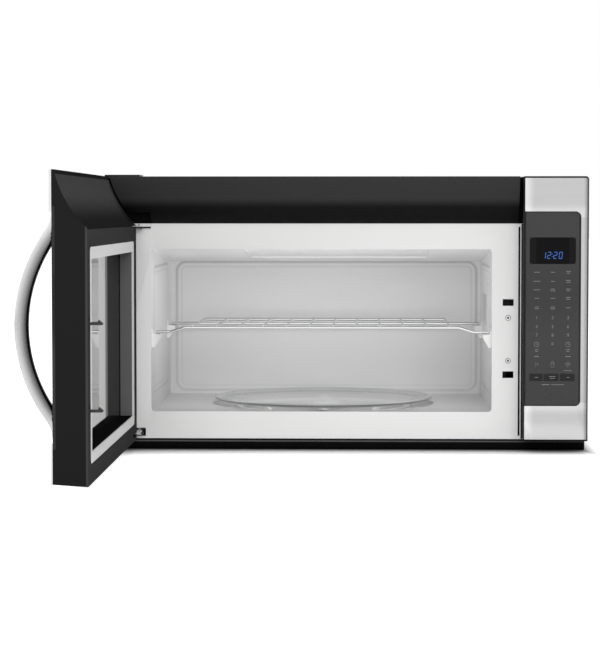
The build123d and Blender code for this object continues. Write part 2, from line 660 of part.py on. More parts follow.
def cavity_pressings(grow):
    """Pressed panels that stand out of the cavity box: back, ceiling and the dish in the floor."""
    back = P1 + CAVITY_D
    panel = rounded(CAVITY_X0 + EMBOSS_INSET - grow, CAVITY_X1 - EMBOSS_INSET + grow,
                    CAVITY_FLOOR + EMBOSS_INSET - grow, ceiling_z(back) - EMBOSS_INSET + grow,
                    back - 1, back + EMBOSS + grow, EMBOSS_R)
    y0 = BAY_FRONT + CEILING_PANEL_IN
    y1 = y0 + CEILING_PANEL_D
    face = outline((y0 - grow, ceiling_z(y0) - 1), (y1 + grow, ceiling_z(y1) - 1),
                   (y1 + grow, ceiling_z(y1) + EMBOSS + grow), (y0 - grow, ceiling_z(y0) + EMBOSS + grow))
    middle = TABLE_X + CEILING_PANEL_OFF
    ceiling = along_x(face, middle - CEILING_PANEL_W / 2 - grow, middle + CEILING_PANEL_W / 2 + grow)
    dish = rod(TABLE_X, TABLE_Y, DISH_Z - grow, FLOOR_DISH_R + grow, FLOOR_DISH + 0.5)
    return [panel, ceiling, dish]


def port_block(x0, x1, grow=0.0):
    """The waveguide port in the right wall."""
    y = P1 + PORT_DEPTH
    return block(x0, x1, y - PORT_W / 2 - grow, y + PORT_W / 2 + grow,
                 PORT_Z - PORT_H / 2 - grow, PORT_Z + PORT_H / 2 + grow)


def cavity_liner():
    """Welded cavity with its flange behind the frame, the port and the lamp holes."""
    liner = cavity_prism(SHEET)
    for pressing in cavity_pressings(SHEET):
        liner += pressing
    liner -= cavity_prism(0)
    for pressing in cavity_pressings(0):
        liner -= pressing
    liner -= rod(TABLE_X, TABLE_Y, DISH_Z - SHEET, SHAFT_R + 2, SHEET)
    liner -= port_block(CAVITY_X1, CAVITY_X1 + SHEET)
    flange = rounded(CAVITY_X0 - 9, CAVITY_X1 + 9, CAVITY_FLOOR - 9, CAVITY_TOP + 9,
                     BAY_FRONT, BAY_FRONT + SHEET, MOUTH_R + 3)
    liner += flange - rounded(CAVITY_X0, CAVITY_X1, CAVITY_FLOOR, CAVITY_TOP,
                              BAY_FRONT, BAY_FRONT + SHEET, 0.4)
    for hole in lamp_holes():
        liner -= hole
    return liner


def lamp_holes():
    """Small holes in the right wall that the cavity lamp shines through."""
    holes = []
    half = (LAMP_HOLES - 1) / 2
    for row in range(LAMP_HOLES):
        for column in range(LAMP_HOLES):
            y = LAMP_Y + (column - half) * LAMP_PITCH
            z = LAMP_Z + (row - half) * LAMP_PITCH
            holes.append(rod(CAVITY_X1, y, z, LAMP_SMALL_R, SHEET, "x"))
    return holes


def cavity_lamp():
    """Lamp of the cavity: a cup against the right wall, with the bulb in it."""
    x = CAVITY_X1 + SHEET + SEAM
    socket = block(x, x + 3, LAMP_Y - 22, LAMP_Y + 22, LAMP_Z - 22, LAMP_Z + 22)
    socket -= rod(x, LAMP_Y, LAMP_Z, LAMP_HOLE_R, 3, "x")
    socket += ring(x + 3, LAMP_Y, LAMP_Z, LAMP_HOLE_R + 3, LAMP_HOLE_R, 22, "x")
    socket += rod(x + 25, LAMP_Y, LAMP_Z, LAMP_HOLE_R + 3, 4, "x")
    return socket + bulb(x + 25.5, LAMP_Y, LAMP_Z, 9, -22.5, 6)


def waveguide():
    """Sheet box over the port, with a hole for the magnetron's antenna."""
    x0 = CAVITY_X1 + SHEET + SEAM
    x1 = x0 + GUIDE_W
    y = P1 + PORT_DEPTH
    box = block(x0, x1, y - 50, y + 50, PORT_Z - 26, PORT_Z + 80)
    box -= block(x0, x1 - SHEET, y - 50 + SHEET, y + 50 - SHEET, PORT_Z - 26 + SHEET, PORT_Z + 80 - SHEET)
    return box - rod(x1 - SHEET, y, PORT_Z + TUBE_RISE, 12, SHEET, "x")


def waveguide_cover():
    """Mica sheet clipped over the port, inside the cavity."""
    return port_block(CAVITY_X1 - 0.8, CAVITY_X1 - 0.1, 5)


def rail_end_z():
    """Height of the rail ends, where they lie on the clips."""
    return RACK_Z - RACK_DIP


def clip_places():
    """Wall, side and rail depth of the four clips."""
    places = []
    for depth in (RACK_FRONT, RACK_BACK):
        places.append((CAVITY_X0, -1, P1 + depth))
        places.append((CAVITY_X1, 1, P1 + depth))
    return places


def clip_bore(wall, side, y, radius, length):
    """Bar from the wall into a clip, for its screw and for the hole."""
    z = rail_end_z() - RAIL_R - CLIP_H * 0.45
    return rod(min(wall, wall - side * length), y - CLIP_FRONT / 2, z, radius, length, "x")


def rack_clips():
    """Four plastic clips: a shelf on a wedge, with a lip against the side wall."""
    clips = []
    for wall, side, y in clip_places():
        top = rail_end_z() - RAIL_R - SLIDE_GAP
        face = outline((wall, top - CLIP_H), (wall - side * CLIP_TOE, top - CLIP_H),
                       (wall - side * CLIP_W, top - 6), (wall - side * CLIP_W, top),
                       (wall - side * CLIP_LIP_W, top), (wall, top + CLIP_LIP))
        back = Plane(origin=(0, y + CLIP_BACK, 0), x_dir=(1, 0, 0), z_dir=(0, -1, 0))
        clip = extrude(back * face, amount=CLIP_FRONT + CLIP_BACK)
        clips.append(clip - clip_bore(wall, side, y, CLIP_SCREW_R + SLIDE_GAP, CLIP_W))
    return clips


def clip_screws():
    """Screws sunk in the clips, with their ends on the cavity walls."""
    return [clip_bore(wall, side, y, CLIP_SCREW_R, CLIP_TOE + 4) for wall, side, y in clip_places()]


def rail(depth, z_end, z_middle, x0, x1):
    """One long wire whose ends bend down to the clips."""
    y = P1 + depth
    if z_end == z_middle:
        return rod(x0, y, z_middle, RAIL_R, x1 - x0, "x")
    path = FilletPolyline((x0, y, z_end), (x0 + RAIL_BEND * 0.5, y, z_end),
                          (x0 + RAIL_BEND, y, z_middle), (x1 - RAIL_BEND, y, z_middle),
                          (x1 - RAIL_BEND * 0.5, y, z_end), (x1, y, z_end), radius=8)
    section = Plane(origin=(x0, y, z_end), z_dir=(1, 0, 0)) * Circle(RAIL_R)
    return sweep(section, path=path)


def rack():
    """Wire rack: three rails with cross wires welded on top."""
    x0 = CAVITY_X0 + RACK_SIDE_GAP
    x1 = CAVITY_X1 - RACK_SIDE_GAP
    count = int((x1 - x0 - 2 * (RAIL_BEND + WIRE_MARGIN)) / WIRE_PITCH) + 1
    half = (count - 1) / 2 * WIRE_PITCH
    middle = (x0 + x1) / 2
    body = rail(RACK_FRONT, rail_end_z(), RACK_Z, x0, x1)
    body += rail(RACK_BACK, rail_end_z(), rail_end_z(), x0, x1)
    body += rail(RACK_BACK, RACK_Z, RACK_Z, middle - half - 2, middle + half + 2)
    body += rail(RACK_MIDDLE, RACK_Z, RACK_Z, middle - half - 2, middle + half + 2)
    wire_z = RACK_Z + RAIL_R * 0.9
    for i in range(count):
        x = middle - half + i * WIRE_PITCH
        body += rod(x, P1 + RACK_FRONT, wire_z, WIRE_R, RACK_BACK - RACK_FRONT, "y")
        body += rod(x, P1 + RACK_BACK, rail_end_z(), WIRE_R, RACK_DIP, "z")
    return body


def turntable_plate():
    """Shallow glass dish: flat inside, with a rim that rises and is rounded over."""
    z = GLASS_PLATE_Z
    foot = PLATE_FLAT_R - 6
    profile = make_face(Polyline((0, z), (foot, z), (PLATE_R - 1.5, z + PLATE_RIM - 4.5),
                                 (PLATE_R, z + PLATE_RIM - 2.8), (PLATE_R, z + PLATE_RIM - 1),
                                 (PLATE_R - 1.2, z + PLATE_RIM), (PLATE_R - 3.2, z + PLATE_RIM - 0.3),
                                 (PLATE_FLAT_R, z + GLASS_PLATE_T), (0, z + GLASS_PLATE_T), close=True))
    return Pos(TABLE_X, TABLE_Y, 0) * revolve(Plane.XZ * profile, Axis.Z)


def turntable_coupler():
    """Three armed hub that sits on the motor shaft and carries the plate."""
    z0 = DISH_Z + 2
    z1 = GLASS_PLATE_Z - SEAM
    hub = rod(TABLE_X, TABLE_Y, z0, HUB_R, z1 - z0)
    for i in range(3):
        arm = block(0, COUPLER_R, -COUPLER_ARM_W / 2, COUPLER_ARM_W / 2, z1 - 7, z1)
        hub += Pos(TABLE_X, TABLE_Y, 0) * Rot(0, 0, 120 * i) * arm
    return hub - rod(TABLE_X, TABLE_Y, z0, SHAFT_R + SHAFT_FIT, 10)


def turntable_motor():
    """Flat motor under the cavity floor, with its ears and shaft."""
    top = DISH_Z - SHEET - SEAM
    motor = rod(TABLE_X, TABLE_Y, top - MOTOR_H, MOTOR_R, MOTOR_H)
    motor += block(TABLE_X - 36, TABLE_X + 36, TABLE_Y - 7, TABLE_Y + 7, top - 1.5, top)
    motor += rod(TABLE_X, TABLE_Y, top, SHAFT_R, DISH_Z + 11 - top)
    return motor


def roller_ring():
    """Plastic ring with three axles that point outwards, each with a stop at its end."""
    outer = WHEEL_TRACK_R - WHEEL_T / 2 - 1.5
    start = WHEEL_TRACK_R + WHEEL_T / 2 + SLIDE_GAP
    body = ring(TABLE_X, TABLE_Y, WHEEL_Z - RING_T / 2, outer, outer - RING_W, RING_T)
    for angle in WHEEL_ANGLES:
        axle = rod(outer - 2, 0, WHEEL_Z, AXLE_R, start - outer + 3.2, "x")
        axle += rod(outer - 0.5, 0, WHEEL_Z, AXLE_R + 1.2, 1.7, "x")
        axle += rod(start, 0, WHEEL_Z, AXLE_R + 1.2, 1.2, "x")
        body += Pos(TABLE_X, TABLE_Y, 0) * Rot(0, 0, angle) * axle
    return body


def roller_wheel(angle):
    """Plastic wheel with a recess in each side."""
    start = WHEEL_TRACK_R - WHEEL_T / 2
    wheel = rod(start, 0, WHEEL_Z, WHEEL_R, WHEEL_T, "x")
    wheel -= rod(start, 0, WHEEL_Z, AXLE_R + SHAFT_FIT, WHEEL_T, "x")
    for x in (start, start + WHEEL_T - 1.5):
        wheel -= ring(x, 0, WHEEL_Z, WHEEL_R - 1.5, AXLE_R + 1.5, 1.5, "x")
    return Pos(TABLE_X, TABLE_Y, 0) * Rot(0, 0, angle) * wheel


# ---------------------------------------------------------------- door, drawn closed


def door_section(inset, front):
    """Cross section of the door in (y, z): square below, hollowed by the band's arc above."""
    back = DOOR_BACK - inset
    top = CASE_H - inset
    face = outline((front, DOOR_BOTTOM + inset), (back, DOOR_BOTTOM_BACK + inset), (back, top), (front, top))
    return face - Pos(BAND_Y, BAND_Z) * Circle(BAND_R + BAND_GAP + inset)


def window_block(grow, y0, y1, radius=1.0):
    """Block at the window opening, grown on its four sides."""
    return rounded(WIN_X0 - grow, WIN_X1 + grow, WIN_Z0 - grow, WIN_Z1 + grow, y0, y1, radius)


def hinge_notch(z0, z1):
    """Room in the door for a hinge arm, over the whole swing."""
    reach = HINGE_ARM_R + HINGE_CLEAR
    near = block(DOOR_X0, PIN_X + reach, PIN_Y - reach, DOOR_BACK, z0, z1)
    far = block(DOOR_X0, HINGE_ARM_X + 2 * HINGE_CLEAR, P1 - HINGE_ARM_D - HINGE_CLEAR, DOOR_BACK, z0, z1)
    return near + far


def hook_slots():
    """Slots in the door's inner face that the latch hooks pass through."""
    cuts = []
    for z in HOOK_Z:
        low = z - HOOK_DROP - HOOK_HEAD_H / 2
        cuts.append(block(HOOK_X0 - 1, HOOK_X1 + 1, DOOR_BACK - DOOR_WALL, DOOR_BACK,
                          low - 1, low + HOOK_HEAD_H + LATCH_TRAVEL + 1))
    return cuts


def door_frame():
    """Black moulded tray with the window tube, the hinge corner and the latch slots."""
    front = P0 + TRIM_T
    frame = along_x(door_section(0, front), DOOR_X0, DOOR_X1)
    hollow = along_x(door_section(DOOR_WALL, front), HINGE_SOLID_X, DOOR_X1 - DOOR_WALL)
    hollow -= window_block(PANE_OVERLAP + DOOR_WALL, GLASS_Y + GLASS_T, DOOR_BACK)
    for sign in (-1, 1):
        z = HANDLE_Z + sign * HANDLE_SCREW
        hollow -= block(HANDLE_X0, DOOR_X1, GLASS_Y + GLASS_T, GLASS_Y + GLASS_T + 10, z - 8, z + 8)
    frame -= hollow
    frame -= window_block(PANE_OVERLAP, front, PANE_Y)
    frame -= window_block(0, PANE_Y, DOOR_BACK)
    frame -= rounded(RING_X0, RING_X1, RING_Z0, RING_Z1, DOOR_BACK - BEZEL_T, DOOR_BACK, BEZEL_R)
    frame -= block(DOOR_X0, DOOR_X1, GLASS_Y, GLASS_Y + GLASS_T, GLASS_Z0, GLASS_Z1)
    frame -= hinge_notch(UPPER_HINGE_Z - 1, UPPER_HINGE_Z + HINGE_T + 1)
    frame -= hinge_notch(LOWER_HINGE_Z - 1, LOWER_HINGE_Z + HINGE_T + 1)
    frame -= block(DOOR_X0, DOOR_X0 + 4, DOOR_BACK - 4, DOOR_BACK, 0, CASE_H)
    upper = UPPER_HINGE_Z - PIN_L
    frame -= rod(PIN_X, PIN_Y, upper - 1, PIN_R + SHAFT_FIT, PIN_L + 1)
    lower = LOWER_HINGE_Z + HINGE_T
    frame -= rod(PIN_X, PIN_Y, lower, PIN_R + SHAFT_FIT, PIN_L + 1)
    for cut in hook_slots():
        frame -= cut
    for sign in (-1, 1):
        frame -= rod(HANDLE_X, front, HANDLE_Z + sign * HANDLE_SCREW, 2.6, 16, "y")
    frame += block(HOOK_X0 - 2, DOOR_X1 - DOOR_WALL, LATCH_Y0, DOOR_BACK - DOOR_WALL,
                   SPRING_Z0 - 3, SPRING_Z0)
    for x in (LATCH_X0 - SLIDE_GAP - 2, LATCH_X1 + SLIDE_GAP):
        frame += block(x, x + 2, LATCH_Y0, DOOR_BACK - DOOR_WALL, LATCH_Z0 + 30, LATCH_Z1 - 30)
    return frame


def latch_bar():
    """Plastic bar with two hooks that reach through the door's inner face."""
    bar = block(LATCH_X0, LATCH_X1, LATCH_Y0, LATCH_Y1, LATCH_Z0, LATCH_Z1)
    tip = DOOR_BACK + HOOK_REACH
    for z in HOOK_Z:
        low = z - HOOK_DROP - HOOK_HEAD_H / 2
        hook = outline((LATCH_Y1 - 1, low), (tip - 1.5, low), (tip, low + 2),
                       (tip - HOOK_HEAD_L, low + HOOK_HEAD_H), (tip - HOOK_HEAD_L - 1, low + HOOK_ARM_H),
                       (LATCH_Y1 - 1, low + HOOK_ARM_H))
        bar += along_x(hook, HOOK_X0, HOOK_X1)
    return bar


def latch_spring():
    """Coil that pulls the latch bar down towards the ledge in the door."""
    x = (LATCH_X0 + LATCH_X1) / 2
    y = (LATCH_Y0 + LATCH_Y1) / 2
    height = SPRING_L - 2 * SPRING_WIRE_R - 0.4
    coil = Helix(pitch=height / SPRING_TURNS, height=height, radius=SPRING_R - SPRING_WIRE_R)
    start = coil @ 0
    section = Plane(origin=start, z_dir=coil % 0) * Circle(SPRING_WIRE_R)
    wire = sweep(section, path=coil, is_frenet=True)
    return Pos(x, y, SPRING_Z0 + SPRING_WIRE_R + 0.2) * wire


def door_bezel():
    """Light ring round the window, let into the door's inner face."""
    ring_plate = rounded(RING_X0, RING_X1, RING_Z0, RING_Z1, DOOR_BACK - BEZEL_T, DOOR_BACK, BEZEL_R)
    return ring_plate - window_block(0, DOOR_BACK - BEZEL_T, DOOR_BACK)


def inner_window():
    """Inner pane, seated behind the window opening."""
    return window_block(PANE_OVERLAP - SEAM, PANE_Y - PANE_T, PANE_Y)


def window_screen():
    """Punched screen in front of the inner pane."""
    return window_block(PANE_OVERLAP - SEAM, PANE_Y - PANE_T - SCREEN_T - SEAM, PANE_Y - PANE_T - SEAM)


def door_choke():
    """Steel channel round the window that holds the screen in its seat."""
    y0 = GLASS_Y + GLASS_T + SEAM
    y1 = PANE_Y - PANE_T - SCREEN_T - 2 * SEAM
    tube = window_block(PANE_OVERLAP - SEAM, y0, y1)
    tube -= window_block(PANE_OVERLAP - SEAM - CHOKE_T, y0, y1)
    for y in (y0 + 5, y0 + 10):
        rib = window_block(PANE_OVERLAP - SEAM - CHOKE_T + 0.5, y, y + 1)
        tube += rib - window_block(2, y, y + 1)
    return tube


def door_glass():
    """Outer glass, let into the tray, with two holes for the handle screws."""
    glass = block(DOOR_X0 + SEAM, DOOR_X1 - SEAM, GLASS_Y, GLASS_Y + GLASS_T,
                  GLASS_Z0 + SEAM, GLASS_Z1 - SEAM)
    for sign in (-1, 1):
        glass -= rod(HANDLE_X, GLASS_Y, HANDLE_Z + sign * HANDLE_SCREW, 3, GLASS_T, "y")
    return glass


def door_trim(z0, z1):
    """Stainless strip across the door: folded back at its edges, which are soft at the front."""
    strip = block(DOOR_X0, DOOR_X1, P0, P0 + TRIM_T, z0, z1)
    strip = chamfer(strip.faces().sort_by(Axis.Y)[0].edges(), 0.6)
    return strip - block(DOOR_X0 + TRIM_SKIN, DOOR_X1 - TRIM_SKIN, P0 + TRIM_SKIN, P0 + TRIM_T,
                         z0 + TRIM_SKIN, z1 - TRIM_SKIN)


def bow_profile():
    """Outline of the handle in (y, z): an arc, flared on to the glass at both ends."""
    centre_y = P0 - HANDLE_APEX + HANDLE_R
    foot = GLASS_Y - HANDLE_TIP
    # the flare is an arc outside the bow that ends parallel to the glass
    drop = centre_y - (foot - HANDLE_FLARE_R)
    half = math.sqrt((HANDLE_R + HANDLE_FLARE_R) ** 2 - drop**2)
    share = HANDLE_R / (HANDLE_R + HANDLE_FLARE_R)
    join = (centre_y - drop * share, half * share)
    turn = math.acos(drop / (HANDLE_R + HANDLE_FLARE_R))
    flare_mid = (foot - HANDLE_FLARE_R + HANDLE_FLARE_R * math.cos(turn / 2),
                 half - HANDLE_FLARE_R * math.sin(turn / 2))
    inner_r = HANDLE_R - HANDLE_T
    inner_half = math.sqrt(inner_r**2 - (centre_y - GLASS_Y) ** 2)

    def at(y, z):
        return (y, HANDLE_Z + z)

    lines = [
        ThreePointArc(at(foot, half), at(*flare_mid), at(*join)),
        ThreePointArc(at(*join), at(P0 - HANDLE_APEX, 0), at(join[0], -join[1])),
        ThreePointArc(at(join[0], -join[1]), at(flare_mid[0], -flare_mid[1]), at(foot, -half)),
        Line(at(foot, -half), at(GLASS_Y, -half)),
        Line(at(GLASS_Y, -half), at(GLASS_Y, -inner_half)),
        ThreePointArc(at(GLASS_Y, -inner_half), at(centre_y - inner_r, 0), at(GLASS_Y, inner_half)),
        Line(at(GLASS_Y, inner_half), at(GLASS_Y, half)),
        Line(at(GLASS_Y, half), at(foot, half)),
    ]
    return make_face(Curve() + lines)


def door_handle():
    """Bow handle with softened long edges and two screw holes."""
    handle = along_x(bow_profile(), HANDLE_X0, HANDLE_X1)
    for face_x in (HANDLE_X0, HANDLE_X1):
        side = handle.faces().filter_by(Plane.YZ).sort_by_distance((face_x, P0, HANDLE_Z))[0]
        arcs = side.edges().filter_by(GeomType.CIRCLE).filter_by(lambda e: e.radius > 2 * HANDLE_FLARE_R)
        handle = chamfer(arcs, HANDLE_SOFT)
    for sign in (-1, 1):
        z = HANDLE_Z + sign * HANDLE_SCREW
        handle -= rod(HANDLE_X, GLASS_Y - 8, z, 2.3, 8, "y")
    return handle


def handle_screws():
    """Two screws from inside the door, through the glass and into the handle."""
    screws = []
    seat = GLASS_Y + GLASS_T + 10
    for sign in (-1, 1):
        z = HANDLE_Z + sign * HANDLE_SCREW
        shank = rod(HANDLE_X, GLASS_Y - 7, z, 2.0, seat - GLASS_Y + 7, "y")
        screws.append(rod(HANDLE_X, seat, z, 4.5, 3, "y") + shank)
    return screws


def hinge(z, pin_up, flange_z0, flange_z1, flange_end):
    """Steel bracket: flange on the frame, arm to the front and the pin that the door turns on."""
    left = PIN_X - HINGE_ARM_R
    arm = block(left, PIN_X + HINGE_ARM_R, PIN_Y, P1, z, z + HINGE_T)
    arm += rod(PIN_X, PIN_Y, z, HINGE_ARM_R, HINGE_T)
    arm += block(left, HINGE_ARM_X, P1 - HINGE_ARM_D, P1, z, z + HINGE_T)
    arm += block(left, flange_end, P1, BAY_FRONT, flange_z0, flange_z1)
    start = z + HINGE_T if pin_up else z - PIN_L
    return arm + rod(PIN_X, PIN_Y, start, PIN_R, PIN_L)


def hinge_upper():
    """Upper bracket, whose pin points down into the door."""
    return hinge(UPPER_HINGE_Z, False, UPPER_HINGE_Z - 2.6, FRAME_TOP, -HALF_W + UPPER_NOTCH_L - SEAM)


def hinge_lower():
    """Lower bracket, whose pin points up into the door."""
    tail = -HALF_W + LOWER_NOTCH_L - 3
    return hinge(LOWER_HINGE_Z, True, LOWER_NOTCH_Z0 + SEAM, LOWER_NOTCH_Z1 - SEAM, tail)


def hinge_screws():
    """Screws that hold the two brackets, from the front."""
    screws = []
    head = HINGE_SCREW_HEAD
    for step in HINGE_SCREW_STEPS:
        x = -HALF_W + step
        screws.append(rod(x, P1 - head, FRAME_TOP - 2.4, 1.8, head, "y"))
        screws.append(rod(x, P1 - head, LOWER_NOTCH_Z1 - 3.0, 2.2, head, "y"))
    return screws


# ---------------------------------------------------------------- curved band, top and duct


def mitre_cut():
    """Room for the open door at the band's left end: outside a cylinder that runs front to back."""
    axis_x = PIN_X + BAND_Y - PIN_Y
    radius = BAND_R + BAND_GAP - MITRE_GAP
    room = block(-HALF_W - 10, axis_x, P0 - 20, P1 + 5, FRAME_TOP - 5, CASE_H + 10)
    return room - rod(axis_x, P0 - 20, BAND_Z, radius, P1 - P0 + 25, "y")


def band_section():
    """The band in (y, z): a curved skin with a foot flange on the upper panel."""
    face = outline((P1 - BAND_REACH - 20, FRAME_TOP + SEAM), (P1, FRAME_TOP + SEAM),
                   (P1, CASE_H), (P1 - BAND_REACH - 20, CASE_H))
    skin = face & (Pos(BAND_Y, BAND_Z) * Circle(BAND_R))
    skin -= Pos(BAND_Y, BAND_Z) * Circle(BAND_R - BAND_T)
    lip = outline((P1 - BAND_T - 1.5, FRAME_TOP + SEAM), (P1, FRAME_TOP + SEAM),
                  (P1, FRAME_TOP + 12), (P1 - BAND_T, FRAME_TOP + 12))
    return skin + (lip & (Pos(BAND_Y, BAND_Z) * Circle(BAND_R)))


def end_wall():
    """The band's section, filled back to the upper panel."""
    face = outline((P1 - BAND_REACH - 20, FRAME_TOP + SEAM), (P1, FRAME_TOP + SEAM),
                   (P1, CASE_H - GRILLE_T - SEAM), (P1 - BAND_REACH - 20, CASE_H - GRILLE_T - SEAM))
    return face & (Pos(BAND_Y, BAND_Z) * Circle(BAND_R))


def vent_deflector():
    """Curved cover above the door: mitred at the hinge, closed by a wall at both ends."""
    band = along_x(band_section(), -HALF_W, BAND_RIGHT) - mitre_cut()
    band -= block(-HALF_W - 10, BAND_NOTCH_X, P1 - 30, P1 + 1, FRAME_TOP - 1, FRAME_TOP + BAND_NOTCH_H)
    band += along_x(end_wall(), BAND_RIGHT - BAND_T, BAND_RIGHT)
    return band + along_x(end_wall(), BAND_NOTCH_X, BAND_NOTCH_X + BAND_T)


def hinge_cover():
    """Small plastic cap over the top of the mitre."""
    front = P1 - BAND_REACH + 3
    cap = block(-HALF_W, TAB_X1, front, P1 + 18, CASE_H, CASE_H + TAB_T)
    return cap - block(-HALF_W, PIN_X + 8, front, P1 - 18, CASE_H, CASE_H + 2 * SLIDE_GAP)


def vent_grille():
    """Slatted outlet on top, between the band and the case."""
    x0 = TAB_X1 + 3
    y0 = P1 - BAND_REACH + BAND_T + 3
    y1 = P1 - SEAM
    z0 = CASE_H - GRILLE_T
    grille = block(x0, GRILLE_X1, y0, y1, z0, CASE_H)
    count = int((GRILLE_X1 - x0 - 12) / GRILLE_PITCH)
    first = (x0 + GRILLE_X1) / 2 - (count - 1) / 2 * GRILLE_PITCH
    slot = GRILLE_PITCH - GRILLE_BAR
    for i in range(count):
        x = first + i * GRILLE_PITCH
        grille -= block(x - slot / 2, x + slot / 2, y0 + 4, y1 - 4, z0, CASE_H)
    return grille


def charcoal_filter():
    """Framed carbon filter behind the outlet slots."""
    y0 = BAY_FRONT + SEAM
    z1 = CASE_H - SHEET - SEAM
    return block(CAVITY_X0 + CARBON_SIDE, CAVITY_X1 - CARBON_SIDE, y0, y0 + CARBON_T, z1 - CARBON_H, z1)


def exhaust_collar():
    """Duct collar under the case top, with bearings for the flap."""
    outer = block(-DUCT_W / 2 - SHEET, DUCT_W / 2 + SHEET, DUCT_Y0 - SHEET, DUCT_Y1 + SHEET,
                  COLLAR_Z0, CASE_H - SHEET - SEAM)
    collar = outer - block(-DUCT_W / 2, DUCT_W / 2, DUCT_Y0, DUCT_Y1, COLLAR_Z0, CASE_H)
    stop_z = COLLAR_Z0 + COLLAR_STOP
    stop = block(-DUCT_W / 2 - 0.5, DUCT_W / 2 + 0.5, DUCT_Y0 - 0.5, DUCT_Y0 + 4, stop_z - 2, stop_z)
    collar += stop
    for x in (-DUCT_W / 2 - SHEET, DUCT_W / 2):
        collar -= rod(x, DUCT_Y1 - FLAP_PIN_IN, FLAP_Z, FLAP_PIN_R + SHAFT_FIT, SHEET, "x")
    return collar


def damper_flap():
    """Sheet flap that lies on a stop and swings up when the blower runs."""
    y = DUCT_Y1 - FLAP_PIN_IN
    flap = block(-DUCT_W / 2 + 1, DUCT_W / 2 - 1, DUCT_Y0 + 1, y, FLAP_BED, FLAP_BED + FLAP_T)
    flap += rod(-DUCT_W / 2 + 1, y, FLAP_Z, FLAP_PIN_R + 1, DUCT_W - 2, "x")
    return flap + rod(-DUCT_W / 2 - SHEET, y, FLAP_Z, FLAP_PIN_R, DUCT_W + 2 * SHEET, "x")


# ---------------------------------------------------------------- hood blower


def blower_wheels():
    """Two squirrel cage wheels on one shaft."""
    shaft = rod(-BLOWER_GAP - BLOWER_WHEEL_L, BLOWER_Y, BLOWER_Z, BLOWER_SHAFT_R,
                2 * (BLOWER_GAP + BLOWER_WHEEL_L), "x")
    wheels = shaft
    for side in (-1, 1):
        near = side * BLOWER_GAP
        far = side * (BLOWER_GAP + BLOWER_WHEEL_L)
        x0 = min(near, near + side * 2)
        wheels += rod(x0, BLOWER_Y, BLOWER_Z, BLOWER_R, 2, "x")
        x1 = min(far, far - side * 3)
        wheels += ring(x1, BLOWER_Y, BLOWER_Z, BLOWER_R, BLOWER_R - 6, 3, "x")
        for i in range(BLADE_COUNT):
            blade = block(min(near, far), max(near, far), -0.6, 0.6, BLOWER_R - 6.5, BLOWER_R - 0.5)
            wheels += Pos(0, BLOWER_Y, BLOWER_Z) * Rot(360 / BLADE_COUNT * i, 0, 0) * blade
    return wheels


def blower_motor():
    """Motor between the two wheels, on a foot that stands on the cavity's roof."""
    half = BLOWER_GAP - 6
    motor = rod(-half, BLOWER_Y, BLOWER_Z, BLOWER_MOTOR_R, 2 * half, "x")
    motor -= rod(-half, BLOWER_Y, BLOWER_Z, BLOWER_SHAFT_R + SHAFT_FIT, 2 * half, "x")
    foot = BLOWER_FOOT_W - SEAM
    return motor + block(-foot, foot, BLOWER_Y - 15, BLOWER_Y + 15, BLOWER_FOOT_Z,
                         BLOWER_Z - BLOWER_MOTOR_R + 2)


def blower_housing():
    """Sheet scrolls round the wheels, open to the duct above and to the air at their ends."""
    reach = BLOWER_GAP + BLOWER_WHEEL_L + 4
    inner_r = BLOWER_BOX_R - SHEET
    top = COLLAR_Z0 - SEAM
    housing = rod(-reach, BLOWER_Y, BLOWER_Z, BLOWER_BOX_R, 2 * reach, "x")
    throat = BLOWER_THROAT
    housing += block(-reach, reach, BLOWER_Y - throat, BLOWER_Y + throat, BLOWER_Z, top)
    housing -= rod(-reach + SHEET, BLOWER_Y, BLOWER_Z, inner_r, 2 * (reach - SHEET), "x")
    throat -= SHEET
    housing -= block(-reach + SHEET, reach - SHEET, BLOWER_Y - throat, BLOWER_Y + throat, BLOWER_Z, top)
    for side in (-1, 1):
        x = min(side * reach, side * (reach - SHEET))
        housing -= rod(x, BLOWER_Y, BLOWER_Z, BLOWER_R - 8, SHEET, "x")
    foot = block(-reach, reach, BLOWER_Y - 20, BLOWER_Y + 20, BLOWER_FOOT_Z, BLOWER_Z - inner_r + 0.5)
    housing += foot - rod(-reach, BLOWER_Y, BLOWER_Z, inner_r, 2 * reach, "x")
    return housing - block(-BLOWER_FOOT_W, BLOWER_FOOT_W, BLOWER_Y - 21, BLOWER_Y + 21,
                           BLOWER_FOOT_Z, BLOWER_Z - BLOWER_MOTOR_R + 4)


# ---------------------------------------------------------------- power parts in the right bay


def hv_transformer():
    """Laminated core with two windings, on feet."""
    x = BAY_X
    y = BACK_Y - CORE_BACK
    z = FLOOR_Z + 3
    core = block(x - CORE_W / 2, x + CORE_W / 2, y - CORE_D / 2, y + CORE_D / 2, z, z + CORE_H)
    for side in (-1, 1):
        core += block(x + side * 12 - 9, x + side * 12 + 9, y - COIL_REACH, y + COIL_REACH,
                      z + 12, z + CORE_H - 12)
        bar_y = y + side * 24
        core += block(x - CORE_W / 2 - 7, x + CORE_W / 2 + 7, bar_y - 4, bar_y + 4, FLOOR_Z, z)
    return core


def hv_capacitor():
    """Oval can lying on the floor in front of the transformer, with two blade terminals."""
    x = BAY_X + 25
    y0 = BACK_Y - CORE_BACK - COIL_REACH - CAN_GAP - CAN_L
    z = FLOOR_Z + CAN_T / 2
    can = Pos(x, y0, z) * Rot(-90, 0, 0) * extrude(SlotOverall(CAN_W, CAN_T), amount=CAN_L)
    for side in (-1, 1):
        can += block(x + side * 10 - 3, x + side * 10 + 3, y0 - 9, y0 + 1, z - 0.5, z + 0.5)
    return can


